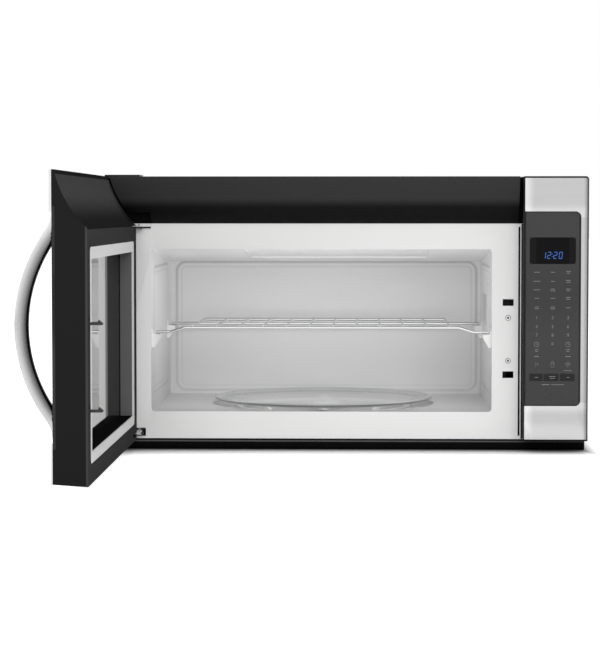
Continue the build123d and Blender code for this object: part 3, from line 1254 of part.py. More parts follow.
def hv_diode():
    """Small block with one lead, beside the capacitor."""
    x = BAY_X - 30
    y0 = BACK_Y - CORE_BACK - COIL_REACH - CAN_GAP - CAN_L
    body = block(x - 8, x + 8, y0, y0 + 30, FLOOR_Z, FLOOR_Z + 12)
    return body + rod(x, y0 + 30, FLOOR_Z + 6, 1.2, 14, "y")


def magnetron():
    """Finned body between two magnets, with its filter box; the antenna enters the waveguide."""
    y = P1 + PORT_DEPTH
    x0 = CAVITY_X1 + SHEET + SEAM + GUIDE_W + SEAM
    z = PORT_Z + TUBE_RISE
    half = TUBE_HALF
    body = block(x0, x0 + 4, y - half, y + half, z - 40, z + 40)
    body += rod(x0, y, z, 24, 70, "x")
    for i in range(7):
        body += block(x0 + 14 + 6 * i, x0 + 15 + 6 * i, y - half + 6, y + half - 6, z - 32, z + 32)
    for sign in (-1, 1):
        side = y + sign * (half - 3)
        body += block(x0, x0 + 62, side - 2, side + 2, z - 40, z + 40)
    body += block(x0 + 58, x0 + 62, y - half + 1, y + half - 1, z - 40, z + 40)
    body += block(x0 + 62, x0 + 92, y - 26, y + 26, z - 26, z + 26)
    return body + rod(x0 - 18, y, z, 8, 18, "x")


def fan_housing():
    """Square fan frame with a round throat, on a foot that stands on the base plate."""
    x0 = BAY_X - FAN_HALF
    x1 = BAY_X + FAN_HALF
    y1 = FAN_Y + FAN_DEPTH
    frame = block(x0, x1, FAN_Y, y1, FAN_Z - FAN_HALF, FAN_Z + FAN_HALF)
    frame -= rod(BAY_X, FAN_Y, FAN_Z, FAN_HOLE_R, FAN_DEPTH, "y")
    frame += block(x0, x1, FAN_Y, FAN_Y + 3, FLOOR_Z, FAN_Z - FAN_HALF)
    for z in (FAN_Z - 5, FAN_Z + 5):
        bar = block(x0, x1, y1 - 2, y1, z - 3, z + 3)
        frame += bar - rod(BAY_X, FAN_Y, FAN_Z, 12, FAN_DEPTH, "y")
    return frame


def fan_motor():
    """Shaded pole motor on the back of the fan frame."""
    y0 = FAN_Y + FAN_DEPTH + SEAM
    motor = block(BAY_X - 24, BAY_X + 24, y0, y0 + 20, FAN_Z - 20, FAN_Z + 34)
    motor += rod(BAY_X, y0 - 8, FAN_Z, 10, 8, "y")
    return motor + rod(BAY_X, FAN_Y + 3, FAN_Z, FAN_SHAFT_R, y0 - FAN_Y - 3, "y")


def fan_blade():
    """Five blades on a hub, trimmed to a circle."""
    hub_y = FAN_Y + 4
    fan = rod(BAY_X, hub_y, FAN_Z, 14, 11, "y")
    for i in range(FAN_BLADES):
        blade = Pos(32, 0, 0) * Rot(28, 0, 0) * Box(38, 1.4, 24)
        fan += Pos(BAY_X, hub_y + 5.5, FAN_Z) * Rot(0, 360 / FAN_BLADES * i, 0) * blade
    fan &= rod(BAY_X, FAN_Y, FAN_Z, FAN_BLADE_R, FAN_DEPTH, "y")
    return fan - rod(BAY_X, hub_y, FAN_Z, FAN_SHAFT_R + SHAFT_FIT, 11, "y")


def interlock_bracket():
    """Plastic bracket behind the latch slots."""
    y0 = BAY_FRONT + SHEET + SEAM
    plate = block(CAVITY_X1 + 11, CAVITY_X1 + 14, y0, y0 + 84, HOOK_Z[0] - 25, HOOK_Z[1] + 25)
    for z in FRAME_SCREW_Z:
        tab = block(CAVITY_X1 + 13, FRAME_SCREW_X + 6, y0, y0 + 4, z - 6, z + 6)
        plate += tab - rod(FRAME_SCREW_X, y0, z, 2.3, 4, "y")
    return plate


def interlock_switches():
    """Three small switches that the latch hooks work."""
    switches = []
    x0 = CAVITY_X1 + 14 + SEAM
    y0 = DOOR_BACK + HOOK_REACH + 8
    middle = (HOOK_Z[0] + HOOK_Z[1]) / 2
    for z in (HOOK_Z[0], middle, HOOK_Z[1]):
        body = block(x0, x0 + 10, y0 + 4, y0 + 30, z - 8, z + 8)
        body += block(x0 + 3, x0 + 7, y0, y0 + 4.5, z - 2, z + 2)
        for step in (9, 17, 25):
            body += block(x0 + 10, x0 + 18, y0 + step - 1.5, y0 + step + 1.5, z - 0.4, z + 0.4)
        switches.append(body)
    return switches


# ---------------------------------------------------------------- control panel


def control_carrier():
    """Dark moulded housing of the control panel, open to the bay behind it."""
    y0 = P0 + PANEL_TRIM_T
    y1 = P1 - SEAM
    face = Pos((PANEL_X0 + PANEL_X1) / 2, (PANEL_BOTTOM + CASE_H) / 2) * Rectangle(
        PANEL_X1 - PANEL_X0, CASE_H - PANEL_BOTTOM)
    corner = face.vertices().group_by(Axis.Y)[-1].sort_by(Axis.X)[-1]
    face = fillet(corner, PANEL_CORNER_R)
    shell = extrude(Plane(origin=(0, y1, 0), x_dir=(1, 0, 0), z_dir=(0, -1, 0)) * face, amount=y1 - y0)
    w = PANEL_WALL
    shell -= block(PANEL_X0 + w, PANEL_X1 - w, y0 + w, y1, PANEL_BOTTOM + w, CASE_H - w)
    shell -= block(PANEL_X0 + 4, TOUCH_X1 - 4, y0, y0 + w, WINDOW_Z0 - 4, WINDOW_Z1 + 4)
    rim_middle = Pos((PANEL_X0 + PANEL_X1 - PANEL_RIM) / 2 - 1, (DOOR_BOTTOM + CASE_H - PANEL_RIM) / 2)
    inside_w = PANEL_X1 - PANEL_RIM - PANEL_X0 + 2
    rim_face = face - rim_middle * Rectangle(inside_w, CASE_H - PANEL_RIM - DOOR_BOTTOM)
    rim_plane = Plane(origin=(0, y0 + 0.1, 0), x_dir=(1, 0, 0), z_dir=(0, -1, 0))
    shell += extrude(rim_plane * rim_face, amount=PANEL_TRIM_T - 1.1)
    for z in (BOARD_Z0 + 10, (BOARD_Z0 + BOARD_Z1) / 2 - 30, BOARD_Z1 - 10):
        shell += block(PANEL_X0 + w - 0.5, PANEL_X0 + 8, BOARD_Y0 + 2, BOARD_Y0 + 6, z - 5, z + 5)
    return shell


def control_trim():
    """Stainless skin round the touch glass: top, right and bottom."""
    x1 = PANEL_X1 - PANEL_RIM - SEAM
    z1 = CASE_H - PANEL_RIM - SEAM
    z0 = DOOR_BOTTOM + SEAM
    skin = block(PANEL_X0, x1, P0, P0 + PANEL_TRIM_T - SEAM, z0, z1)
    edge = skin.edges().filter_by(Axis.Y).sort_by(Axis.X)[-2:].sort_by(Axis.Z)[-1]
    skin = fillet(edge, PANEL_CORNER_R - PANEL_RIM)
    return skin - touch_block(0, P0, P0 + PANEL_TRIM_T)


def touch_block(shrink, y0, y1):
    """Touch glass: square at the left, rounded at the right."""
    z0 = BOTTOM_TRIM_Z + shrink
    z1 = TOP_TRIM_Z - shrink
    x1 = TOUCH_X1 - shrink
    body = rounded(PANEL_X0 + shrink, x1, z0, z1, y0, y1, TOUCH_R)
    return body + block(PANEL_X0 + shrink, (PANEL_X0 + x1) / 2, y0, y1, z0, z1)


def control_glass():
    """Touch glass with a recess for the clock window."""
    y0 = P0 + TOUCH_IN
    y1 = P0 + PANEL_TRIM_T - SEAM
    glass = touch_block(SEAM, y0, y1)
    return glass - block(WINDOW_X0, WINDOW_X1, y0, y0 + WINDOW_T, WINDOW_Z0, WINDOW_Z1)


def display_window():
    """Dark window over the clock."""
    y0 = P0 + TOUCH_IN
    return block(WINDOW_X0, WINDOW_X1, y0, y0 + WINDOW_T, WINDOW_Z0, WINDOW_Z1)


def display_module():
    """Display block whose pins stand on the board."""
    y0 = P0 + PANEL_TRIM_T + SEAM
    body = block(WINDOW_X0 + 4, WINDOW_X1 - 4, y0, y0 + 12, WINDOW_Z0 + 3, WINDOW_Z1 - 3)
    for i in range(8):
        x = WINDOW_X0 + 10 + 7 * i
        body += block(x, x + 1, y0 + 12, BOARD_Y0, WINDOW_Z0 + 6, WINDOW_Z0 + 7)
    return body


def control_board():
    """Circuit board with its relays, transformer and plugs."""
    x0 = PANEL_X0 + PANEL_WALL + BOARD_SIDE_GAP
    x1 = PANEL_X1 - PANEL_WALL - BOARD_SIDE_GAP
    y1 = BOARD_Y0 + BOARD_T
    board = block(x0, x1, BOARD_Y0, y1, BOARD_Z0, BOARD_Z1)
    # share of the width and of the height, then the part's own width, height and depth
    parts = ((0.15, 0.08, 26, 18, 16), (0.15, 0.2, 26, 18, 16), (0.15, 0.53, 20, 18, 16),
             (0.55, 0.11, 34, 34, 24), (0.55, 0.28, 24, 14, 14), (0.55, 0.58, 30, 12, 10),
             (0.2, 0.78, 22, 10, 12))
    for across, up, width, height, depth in parts:
        x = x0 + across * (x1 - x0)
        z = BOARD_Z0 + up * (BOARD_Z1 - BOARD_Z0)
        board += block(x, x + width, y1 - 0.2, y1 + depth, z, z + height)
    return board


def case_screws():
    """Screws that hold the wrap to the frame and the rear panel, four on each side."""
    screws = []
    head = CASE_SCREW_HEAD
    for y in (P1 + 60, BACK_Y - 63.3):
        for z in (BASE_H + 43, CASE_H - 134.4):
            screws.append(rod(-HALF_W - head, y, z, CASE_SCREW_R, head, "x"))
            screws.append(rod(HALF_W, y, z, CASE_SCREW_R, head, "x"))
    return screws


# ---------------------------------------------------------------- write every node
os.makedirs("parts", exist_ok=True)

write("wall_plate", wall_plate())
write("rear_panel", rear_panel())
write("case_wrap", case_wrap())
write("base_pan", base_pan())
write("base_plate", base_plate())
write("grease_filters", *grease_filters())
write("hood_lenses", *hood_lenses())
write("front_frame", front_frame())
write("upper_panel", upper_panel())
write("vent_deflector", vent_deflector())
write("hinge_cover", hinge_cover())
write("vent_grille", vent_grille())
write("charcoal_filter", charcoal_filter())
write("exhaust_collar", exhaust_collar())
write("damper_flap", damper_flap())
write("blower_housing", blower_housing())
write("blower_motor", blower_motor())
write("blower_wheels", blower_wheels())
write("cavity_liner", cavity_liner())
write("lamp_bulbs", cavity_lamp(), *hood_lamps())
write("waveguide", waveguide())
write("waveguide_cover", waveguide_cover())
write("magnetron", magnetron())
write("hv_transformer", hv_transformer())
write("hv_capacitor", hv_capacitor())
write("hv_diode", hv_diode())
write("fan_housing", fan_housing())
write("fan_motor", fan_motor())
write("fan_blade", fan_blade())
write("interlock_bracket", interlock_bracket())
write("interlock_switches", *interlock_switches())
write("rack_clips", *rack_clips())
write("rack", rack())
write("turntable_plate", turntable_plate())
write("turntable_coupler", turntable_coupler())
write("turntable_motor", turntable_motor())
write("roller_ring", roller_ring())
for number, wheel_angle in enumerate(WHEEL_ANGLES):
    write(f"roller_wheel_{number + 1}", roller_wheel(wheel_angle))
write("control_carrier", control_carrier())
write("control_trim", control_trim())
write("control_glass", control_glass())
write("display_window", display_window())
write("control_board", control_board() + display_module())
write("hinge_upper", hinge_upper())
write("hinge_lower", hinge_lower())
write("chassis_screws", *case_screws(), *frame_screws(), *clip_screws(), *hinge_screws())

write("door_frame", opened(door_frame()))
write("door_bezel", opened(door_bezel()))
write("inner_window", opened(inner_window()))
write("window_screen", opened(window_screen()))
write("door_choke", opened(door_choke()))
write("door_glass", opened(door_glass()))
write("door_trim_top", opened(door_trim(TOP_TRIM_Z, CASE_H)))
write("door_trim_bottom", opened(door_trim(DOOR_BOTTOM, BOTTOM_TRIM_Z)))
write("door_handle", opened(door_handle()))
write("handle_screws", *[opened(piece) for piece in handle_screws()])
write("latch_bar", opened(latch_bar()))
write("latch_spring", opened(latch_spring()))
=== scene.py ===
import bpy
import bmesh
import math
from mathutils import Matrix, Vector


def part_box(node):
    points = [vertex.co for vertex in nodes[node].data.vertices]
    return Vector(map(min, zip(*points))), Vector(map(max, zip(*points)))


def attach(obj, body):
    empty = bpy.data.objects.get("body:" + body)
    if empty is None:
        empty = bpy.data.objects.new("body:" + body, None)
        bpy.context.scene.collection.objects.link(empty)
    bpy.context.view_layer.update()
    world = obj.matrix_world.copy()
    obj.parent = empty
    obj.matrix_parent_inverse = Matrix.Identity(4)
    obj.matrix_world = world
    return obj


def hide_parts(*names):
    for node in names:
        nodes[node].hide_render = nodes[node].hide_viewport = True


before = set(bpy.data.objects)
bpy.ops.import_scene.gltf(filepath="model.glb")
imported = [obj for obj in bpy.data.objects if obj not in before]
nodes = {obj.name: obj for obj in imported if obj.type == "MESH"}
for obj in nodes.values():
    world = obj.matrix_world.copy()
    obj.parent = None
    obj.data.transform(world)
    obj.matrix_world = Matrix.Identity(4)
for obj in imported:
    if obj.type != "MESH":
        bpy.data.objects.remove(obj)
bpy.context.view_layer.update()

# ------------------------------------------------------------------ camera
# The photo is taken from in front, a little right of the middle and a little below the top edge of
# the case, with a long lens: the open door shows its edge and inner face.
front_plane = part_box("control_trim")[0].y
photo_camera = bpy.data.objects.new("photo_camera", bpy.data.cameras.new("photo_camera"))
bpy.context.scene.collection.objects.link(photo_camera)
bpy.context.scene.camera = photo_camera
photo_camera.data.sensor_fit = "VERTICAL"
photo_camera.data.sensor_height = 36.0
photo_camera.data.lens = 128.05
photo_camera.data.clip_end = 60.0
photo_camera.location = (0.0298, front_plane - 3.675, 0.380)
aim = Vector((-0.0721, front_plane, 0.1942)) - photo_camera.location
photo_camera.rotation_euler = aim.to_track_quat("-Z", "Y").to_euler()
bpy.context.scene.view_settings.view_transform = "Standard"


# ------------------------------------------------------------------ floor and light
# A pale studio floor under a plain white surround. The floor is lifted to white for the camera a
# little way off the case, so the contact shadow at the hood's foot stays. Close round the case the
# floor's colour is also painted darker: a painted contact shadow.
class Level:
    """A value that varies over a surface. Sums on it add the Math nodes that work it out."""

    def __init__(self, finish, socket):
        self.finish = finish
        self.socket = socket

    def math(self, operation, *values):
        return self.finish.node("Math", {"operation": operation}, dict(enumerate(values)))

    def __add__(self, other):
        return self.math("ADD", self, other)

    def __radd__(self, other):
        return self.math("ADD", other, self)

    def __sub__(self, other):
        return self.math("SUBTRACT", self, other)

    def __rsub__(self, other):
        return self.math("SUBTRACT", other, self)

    def __mul__(self, other):
        return self.math("MULTIPLY", self, other)

    def __rmul__(self, other):
        return self.math("MULTIPLY", other, self)

    def __abs__(self):
        return self.math("ABSOLUTE", self)

    def __gt__(self, other):
        return self.math("GREATER_THAN", self, other)

    def __lt__(self, other):
        return self.math("LESS_THAN", self, other)

    def within(self, low, high):
        """1 between two values and 0 outside them."""
        return (self > low) * (self < high)

    def at_least(self, other):
        return self.math("MAXIMUM", self, other)

    def at_most(self, other):
        return self.math("MINIMUM", self, other)

    def distance(self, other):
        """Straight distance from a point, out of how far off it is along two axes."""
        return self.math("SQRT", self * self + other * other)


class Finish:
    """A material in the making: its shader and the nodes that vary it over the surface."""

    def __init__(self, name, **sockets):
        self.material = bpy.data.materials.new(name)
        self.material.use_nodes = True
        self.tree = self.material.node_tree
        self.shader = self.tree.nodes["Principled BSDF"]
        for socket, value in sockets.items():
            self.set(socket, value)

    def node(self, kind, settings=None, inputs=None, output=0):
        """Any node: its settings first, then the values or links of its sockets."""
        made = self.tree.nodes.new("ShaderNode" + kind)
        for key, value in (settings or {}).items():
            setattr(made, key, value)
        for key, value in (inputs or {}).items():
            self.plug(made.inputs[key], value)
        return Level(self, made.outputs[output])

    def plug(self, socket, value):
        if isinstance(value, Level):
            self.tree.links.new(value.socket, socket)
        elif isinstance(value, tuple) and len(value) == 3 and socket.type == "RGBA":
            socket.default_value = (*value, 1.0)
        else:
            socket.default_value = value

    def set(self, socket, value):
        self.plug(self.shader.inputs[socket.replace("_", " ")], value)

    def place(self, scale=(1.0, 1.0, 1.0), turn=(0.0, 0.0, 0.0)):
        """Object coordinates, stretched and turned for a pattern."""
        here = self.node("TexCoord", output="Object")
        return self.node("Mapping", None, {"Vector": here, "Scale": scale, "Rotation": turn})

    def axis(self, number, source="Object"):
        """One of the object's own coordinates, in metres, or one axis of its Normal."""
        return self.node("SeparateXYZ", None, {0: self.node("TexCoord", output=source)}, number)

    def noise(self, scale, detail=3.0, where=None, rough=0.5):
        inputs = {"Vector": where or self.place(), "Scale": scale, "Detail": detail, "Roughness": rough}
        return self.node("TexNoise", None, inputs)

    def cells(self, scale, feature="F1", output="Distance"):
        inputs = {"Vector": self.place(), "Scale": scale}
        return self.node("TexVoronoi", {"feature": feature}, inputs, output)

    def bands(self, scale, direction, where=None, bend=0.0):
        inputs = {"Vector": where or self.place(), "Scale": scale, "Distortion": bend}
        return self.node("TexWave", {"wave_type": "BANDS", "bands_direction": direction}, inputs)

    def between(self, low, high, level):
        """Smooth step of a level from 0 at low to 1 at high."""
        return self.node("MapRange", {"interpolation_type": "SMOOTHSTEP"},
                         {"Value": level, "From Min": low, "From Max": high})

    def blend(self, share, first, second_crease_shade, way="MIX"):
        """A colour between two colours. A colour Mix node has them in sockets 6 and 7, its result in 2."""
        settings = {"data_type": "RGBA", "blend_type": way}
        return self.node("Mix", settings, {0: share, 6: first, 7: second_crease_shade}, 2)

    def bump(self, height, distance, strength=1.0):
        bump = self.node("Bump", None, {"Height": height, "Distance": distance, "Strength": strength})
        self.set("Normal", bump)

    def on(self, *names):
        """Puts the finish on carried over nodes."""
        for name in names:
            nodes[name].data.materials.clear()
            nodes[name].data.materials.append(self.material)


def piece(name, shape, material):
    """A new object from a finished bmesh, at the origin."""
    made = bpy.data.objects.new(name, bpy.data.meshes.new(name))
    shape.to_mesh(made.data)
    shape.free()
    made.data.materials.append(material)
    bpy.context.scene.collection.objects.link(made)
    return made


def light(name, size, place, target, power):
    """A soft lamp that doesn't show in gloss, so metal mirrors the plain surround alone."""
    lamp = bpy.data.lights.new(name, "AREA")
    lamp.shape = "RECTANGLE"
    lamp.size, lamp.size_y = size
    lamp.energy = power
    made = bpy.data.objects.new(name, lamp)
    bpy.context.scene.collection.objects.link(made)
    made.location = place
    made.rotation_euler = (Vector(target) - made.location).to_track_quat("-Z", "Y").to_euler()
    made.visible_glossy = False
    made.visible_transmission = False
    made.visible_camera = False


light("front_softbox", (3.0, 2.0), (0.3, -4.6, 1.9), (-0.05, -0.3, 0.2), 97.0)
light("top_softbox", (3.0, 1.6), (0.0, 0.3, 3.0), (0.0, -0.3, 0.2), 46.0)
light("left_softbox", (1.6, 2.0), (-3.2, -1.6, 1.3), (-0.4, -0.8, 0.2), 18.0)
# A fill at the mouth of the cavity, because a deep white box swallows light.
light("cavity_fill", (0.34, 0.10), (-0.04, -0.391, 0.13), (-0.04, 0.0, 0.33), 0.30)

surround = bpy.data.worlds.new("surround")
bpy.context.scene.world = surround
surround.use_nodes = True
sky = surround.node_tree
sky.nodes["Background"].inputs["Color"].default_value = (1.0, 1.0, 1.0, 1.0)
rays = sky.nodes.new("ShaderNodeLightPath")
seen = sky.nodes.new("ShaderNodeMath")
seen.operation = "MAXIMUM"
sky.links.new(rays.outputs["Is Camera Ray"], seen.inputs[0])
also = sky.nodes.new("ShaderNodeMath")
also.operation = "MAXIMUM"
sky.links.new(rays.outputs["Is Glossy Ray"], also.inputs[0])
sky.links.new(rays.outputs["Is Transmission Ray"], also.inputs[1])
sky.links.new(also.outputs[0], seen.inputs[1])
level = sky.nodes.new("ShaderNodeMapRange")
level.inputs["To Min"].default_value = 0.55
level.inputs["To Max"].default_value = 1.0
sky.links.new(seen.outputs[0], level.inputs["Value"])
sky.links.new(level.outputs[0], sky.nodes["Background"].inputs["Strength"])

floor_mesh = bmesh.new()
bmesh.ops.create_grid(floor_mesh, x_segments=1, y_segments=1, size=20.0)
bmesh.ops.translate(floor_mesh, verts=floor_mesh.verts, vec=(0.0, 8.0, -0.0006))
pale = Finish("pale_floor", Roughness=0.9, Specular_IOR_Level=0.0, Emission_Strength=0.85)
camera_ray = pale.node("LightPath", output="Is Camera Ray")
case_low, case_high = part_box("base_pan")
case_middle, case_half = (case_low + case_high) / 2, (case_high - case_low) / 2
beside = abs(pale.axis(0) - case_middle.x) - case_half.x
before = abs(pale.axis(1) - case_middle.y) - case_half.y
away = (beside * 4.0).at_least(before).at_least(0.0)
# Darker close round the case: a painted contact shadow.
pale.set("Base_Color", pale.blend(pale.between(0.0, 0.035, away), (0.40, 0.40, 0.40), (0.86, 0.86, 0.86)))
lift = camera_ray * pale.between(0.012, 0.13, away)
pale.set("Emission_Color", pale.blend(lift, (0.0, 0.0, 0.0), (1.0, 1.0, 1.0)))
floor = piece("studio_floor", floor_mesh, pale.material)


# ------------------------------------------------------------------ steel case and duct
# The wrap, the back, the wall plate and the duct collar are folded from zinc plated sheet. Zinc
# freezes in pale and darker crystals, and the sheet is rolled, so it isn't quite flat.
def zinc_sheet(name, tone, *names):
    zinc = Finish(name, Metallic=0.85)
    crystal = zinc.cells(70.0, output="Color")
    shade = zinc.node("RGBToBW", None, {0: crystal})
    patch = zinc.noise(9.0, 4.0)
    dark = tuple(tone * c for c in (0.80, 0.81, 0.83))
    pale_zinc = tuple(tone * c for c in (1.08, 1.08, 1.09))
    zinc.set("Base_Color", zinc.blend(shade * 0.55 + patch * 0.45, dark, pale_zinc))
    zinc.set("Roughness", 0.34 + shade * 0.14 + patch * 0.08)
    zinc.bump(patch * 0.7 + shade * 0.3, 0.0004, 0.35)
    zinc.on(*names)


zinc_sheet("zinc_case", 0.60, "case_wrap", "rear_panel")
zinc_sheet("zinc_plate", 0.52, "wall_plate", "base_plate", "waveguide")
zinc_sheet("zinc_duct", 0.58, "exhaust_collar", "damper_flap", "blower_housing")

# ------------------------------------------------------------------ hood underside
# A shallow pan of pressed steel under the case, painted black with a soft sheen. The paint is
# slightly orange peeled. The filters and the lamp lenses sit in its openings.
pan_paint = Finish("pan_paint", Specular_IOR_Level=0.03)
pan_height = pan_paint.axis(2)
# A pale band round the pan from 12 to 15 mm height, on its rolled front edge, is a painted highlight.
edge_starts, edge_ends = (0.0118, 0.0130), (0.0152, 0.0140)
rolled_edge_highlight = pan_paint.between(*edge_starts, pan_height) * pan_paint.between(*edge_ends, pan_height)
pan_paint.set("Base_Color", pan_paint.blend(rolled_edge_highlight, (0.0035, 0.0035, 0.0038), (0.095, 0.095, 0.096)))
peel = pan_paint.noise(260.0, 2.0)
pan_paint.set("Roughness", 0.36 + pan_paint.noise(12.0) * 0.12)
pan_paint.bump(peel, 0.0002, 0.25)
pan_paint.on("base_pan")


def eased(name, body, width, shortest=0.03):
    """A copy of a node with its long hard edges rounded a little, as a press or a mould leaves them."""
    hard_angle, wall_angle = math.radians(40), 0.5

    def facing(face):
        return tuple(round(c, 4) for c in face.normal)

    soft = bmesh.new()
    soft.from_mesh(nodes[name].data)
    bmesh.ops.remove_doubles(soft, verts=soft.verts, dist=0.00001)
    bmesh.ops.dissolve_limit(soft, angle_limit=math.radians(0.5), verts=soft.verts, edges=soft.edges)
    hard = [e for e in soft.edges if e.is_manifold and e.calc_length() > shortest
            and e.calc_face_angle() > hard_angle]
    level = {facing(f) for f in soft.faces
             if all(e.is_manifold and e.calc_face_angle() > wall_angle for e in f.edges)}
    bmesh.ops.bevel(soft, geom=hard, offset=width, offset_type="OFFSET", segments=3, profile=0.5,
                    affect="EDGES", clamp_overlap=True, material=-1)
    soft.normal_update()
    for f in soft.faces:
        f.smooth = facing(f) not in level
    made = piece(name + "_eased", soft, nodes[name].data.materials[0])
    made.data.set_sharp_from_angle(angle=math.radians(32))
    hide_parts(name)
    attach(made, body)


eased("base_pan", "chassis", 0.0006)

# The grease filters are layers of expanded aluminium in a crimped frame.
mesh_metal = Finish("filter_mesh", Metallic=0.9)
strands = mesh_metal.bands(240.0, "DIAGONAL", bend=3.0)
crossing = mesh_metal.bands(240.0, "DIAGONAL", mesh_metal.place(turn=(0.0, 0.0, 1.57)), 3.0)
weave = strands.at_least(crossing)
mesh_metal.set("Base_Color", mesh_metal.blend(weave, (0.25, 0.25, 0.26), (0.72, 0.72, 0.73)))
mesh_metal.set("Roughness", 0.5 - weave * 0.18)
mesh_metal.bump(weave, 0.0005, 0.6)
mesh_metal.on("grease_filters")

# Pressed glass lenses under the hood lamps, prismatic on the inside.
lens_glass = Finish("lens_glass", Base_Color=(0.92, 0.94, 0.93), IOR=1.5, Transmission_Weight=0.9)
prism = lens_glass.bands(90.0, "X")
lens_glass.set("Roughness", 0.12 + prism * 0.15)
lens_glass.bump(prism, 0.0006, 0.5)
lens_glass.on("hood_lenses")

# Bulbs of the hood and the cavity: thin glass on ceramic sockets.
bulb_glass = Finish("bulb_glass", IOR=1.45, Transmission_Weight=0.6)
frost = bulb_glass.noise(150.0)
bulb_glass.set("Base_Color", bulb_glass.blend(frost, (0.86, 0.84, 0.78), (0.95, 0.94, 0.9)))
bulb_glass.set("Roughness", 0.15 + frost * 0.2)
bulb_glass.on("lamp_bulbs")


# ------------------------------------------------------------------ front frame
# One pressed plate, white enamel on steel, with the cavity mouth, two latch slots and hinge notches.
# It closes the case in front, and the hinges and the interlock bracket are screwed to it.
coat = Finish("frame_enamel", Coat_Weight=0.25, Coat_Roughness=0.15)
white = (0.80, 0.80, 0.795)
cloud = coat.noise(6.0, 3.0)
peel = coat.noise(420.0, 2.0)
even = coat.blend(cloud, tuple(c * 0.965 for c in white), white)
# It is painted slightly paler towards the foot and a little darker at the top: painted light.
lower = coat.between(0.36, 0.03, coat.axis(2))
painted_light_tint = coat.blend(lower, (0.95, 0.95, 0.95), (1.09, 1.09, 1.09))
coat.set("Base_Color", coat.blend(1.0, even, painted_light_tint, "MULTIPLY"))
coat.set("Roughness", 0.34 + peel * 0.1)
coat.bump(peel, 0.00012, 0.18)
coat.on("front_frame")
eased("front_frame", "chassis", 0.0004)

# The long groove down the frame's right side is open to a black foam strip, and another strip seals
# the frame against the control panel.
foam = Finish("foam_strip", Roughness=0.9, Specular_IOR_Level=0.1)
pores = foam.cells(900.0)
foam.set("Base_Color", foam.blend(pores, (0.004, 0.004, 0.004), (0.009, 0.009, 0.009)))
foam.bump(pores, 0.0001, 0.3)
frame_low, frame_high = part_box("front_frame")
strips = bmesh.new()
# For each strip: its two sides, how far its front and back lie behind the frame's front, and how much
# shorter it is than the frame.
groove_strip = ((0.2718, 0.2772), (0.0013, 0.0019), 0.008)
panel_strip = ((0.2776, 0.2798), (-0.0006, -0.0001), 0.0004)
for across, deep, short in (groove_strip, panel_strip):
    strip = bmesh.ops.create_grid(strips, x_segments=1, y_segments=40, size=0.5)["verts"]
    strip_height = frame_high.z - frame_low.z - short
    bmesh.ops.scale(strips, vec=(across[1] - across[0], strip_height, 1.0), verts=strip)
    bmesh.ops.rotate(strips, matrix=Matrix.Rotation(math.pi / 2, 3, "X"), verts=strip)
    place = (sum(across) / 2, frame_low.y + deep[0], (frame_low.z + frame_high.z) / 2)
    bmesh.ops.translate(strips, vec=place, verts=strip)
    sheet = [f for f in strips.faces if f.verts[0] in strip]
    raised = bmesh.ops.extrude_face_region(strips, geom=sheet)["geom"]
    bmesh.ops.translate(strips, vec=(0.0, deep[1] - deep[0], 0.0),
                        verts=[v for v in raised if isinstance(v, bmesh.types.BMVert)])
bmesh.ops.recalc_face_normals(strips, faces=strips.faces)
foam_strips = piece("foam_strips", strips, foam.material)
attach(foam_strips, "chassis")


# ------------------------------------------------------------------ screws
# Pan head screws with a cross recess. Two hold the interlock bracket between the latch slots and are
# painted with the frame; the others hold the wrap, the rack clips and the hinges.
screw_x, screw_heights, head_front = 0.2571, (0.1424, 0.2107), frame_low.y - 0.0012
steel = Finish("screw_steel")
turn = steel.noise(900.0, 2.0)
paint_reach = 0.006
on_front = steel.axis(1) < frame_low.y + 0.0002
painted = on_front * steel.axis(0).within(screw_x - paint_reach, screw_x + paint_reach)
middle_z, apart = sum(screw_heights) / 2, (screw_heights[1] - screw_heights[0]) / 2
off_x, off_z = steel.axis(0) - screw_x, abs(steel.axis(2) - middle_z) - apart
# A dark ring at the edge of each painted head is painted shade.
head_rim_shade = steel.between(0.0033, 0.0037, off_x.distance(off_z))
paint_and_rim_shade = steel.blend(head_rim_shade, (0.90, 0.90, 0.895), (0.14, 0.14, 0.14))
bare_steel = steel.blend(turn, (0.42, 0.42, 0.43), (0.62, 0.62, 0.62))
steel.set("Base_Color", steel.blend(painted, bare_steel, paint_and_rim_shade))
steel.set("Metallic", 1.0 - painted)
steel.set("Roughness", 0.28 + turn * 0.2)
steel.bump(turn, 0.00005, 0.4)
steel.on("chassis_screws", "handle_screws")

# Cross recesses of the two painted heads: thin dark slits laid on the heads, painted shade for the
# hollow of each recess.
recess = Finish("recess_dark", Roughness=0.6)
recess_shade_speckle = recess.noise(2000.0)
recess.set("Base_Color", recess.blend(recess_shade_speckle, (0.02, 0.02, 0.02), (0.06, 0.06, 0.06)))
crosses = bmesh.new()
slit_size, slit_turn = (0.0034, 0.00008, 0.0024), 0.35
for z in screw_heights:
    for turned in (slit_turn, slit_turn + math.pi / 2):
        slit = bmesh.ops.create_cube(crosses, size=1.0)["verts"]
        bmesh.ops.scale(crosses, vec=slit_size, verts=slit)
        bmesh.ops.rotate(crosses, matrix=Matrix.Rotation(turned, 3, "Y"), verts=slit)
        bmesh.ops.translate(crosses, vec=(screw_x, head_front, z), verts=slit)
cross_recesses = piece("cross_recesses", crosses, recess.material)
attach(cross_recesses, "chassis")

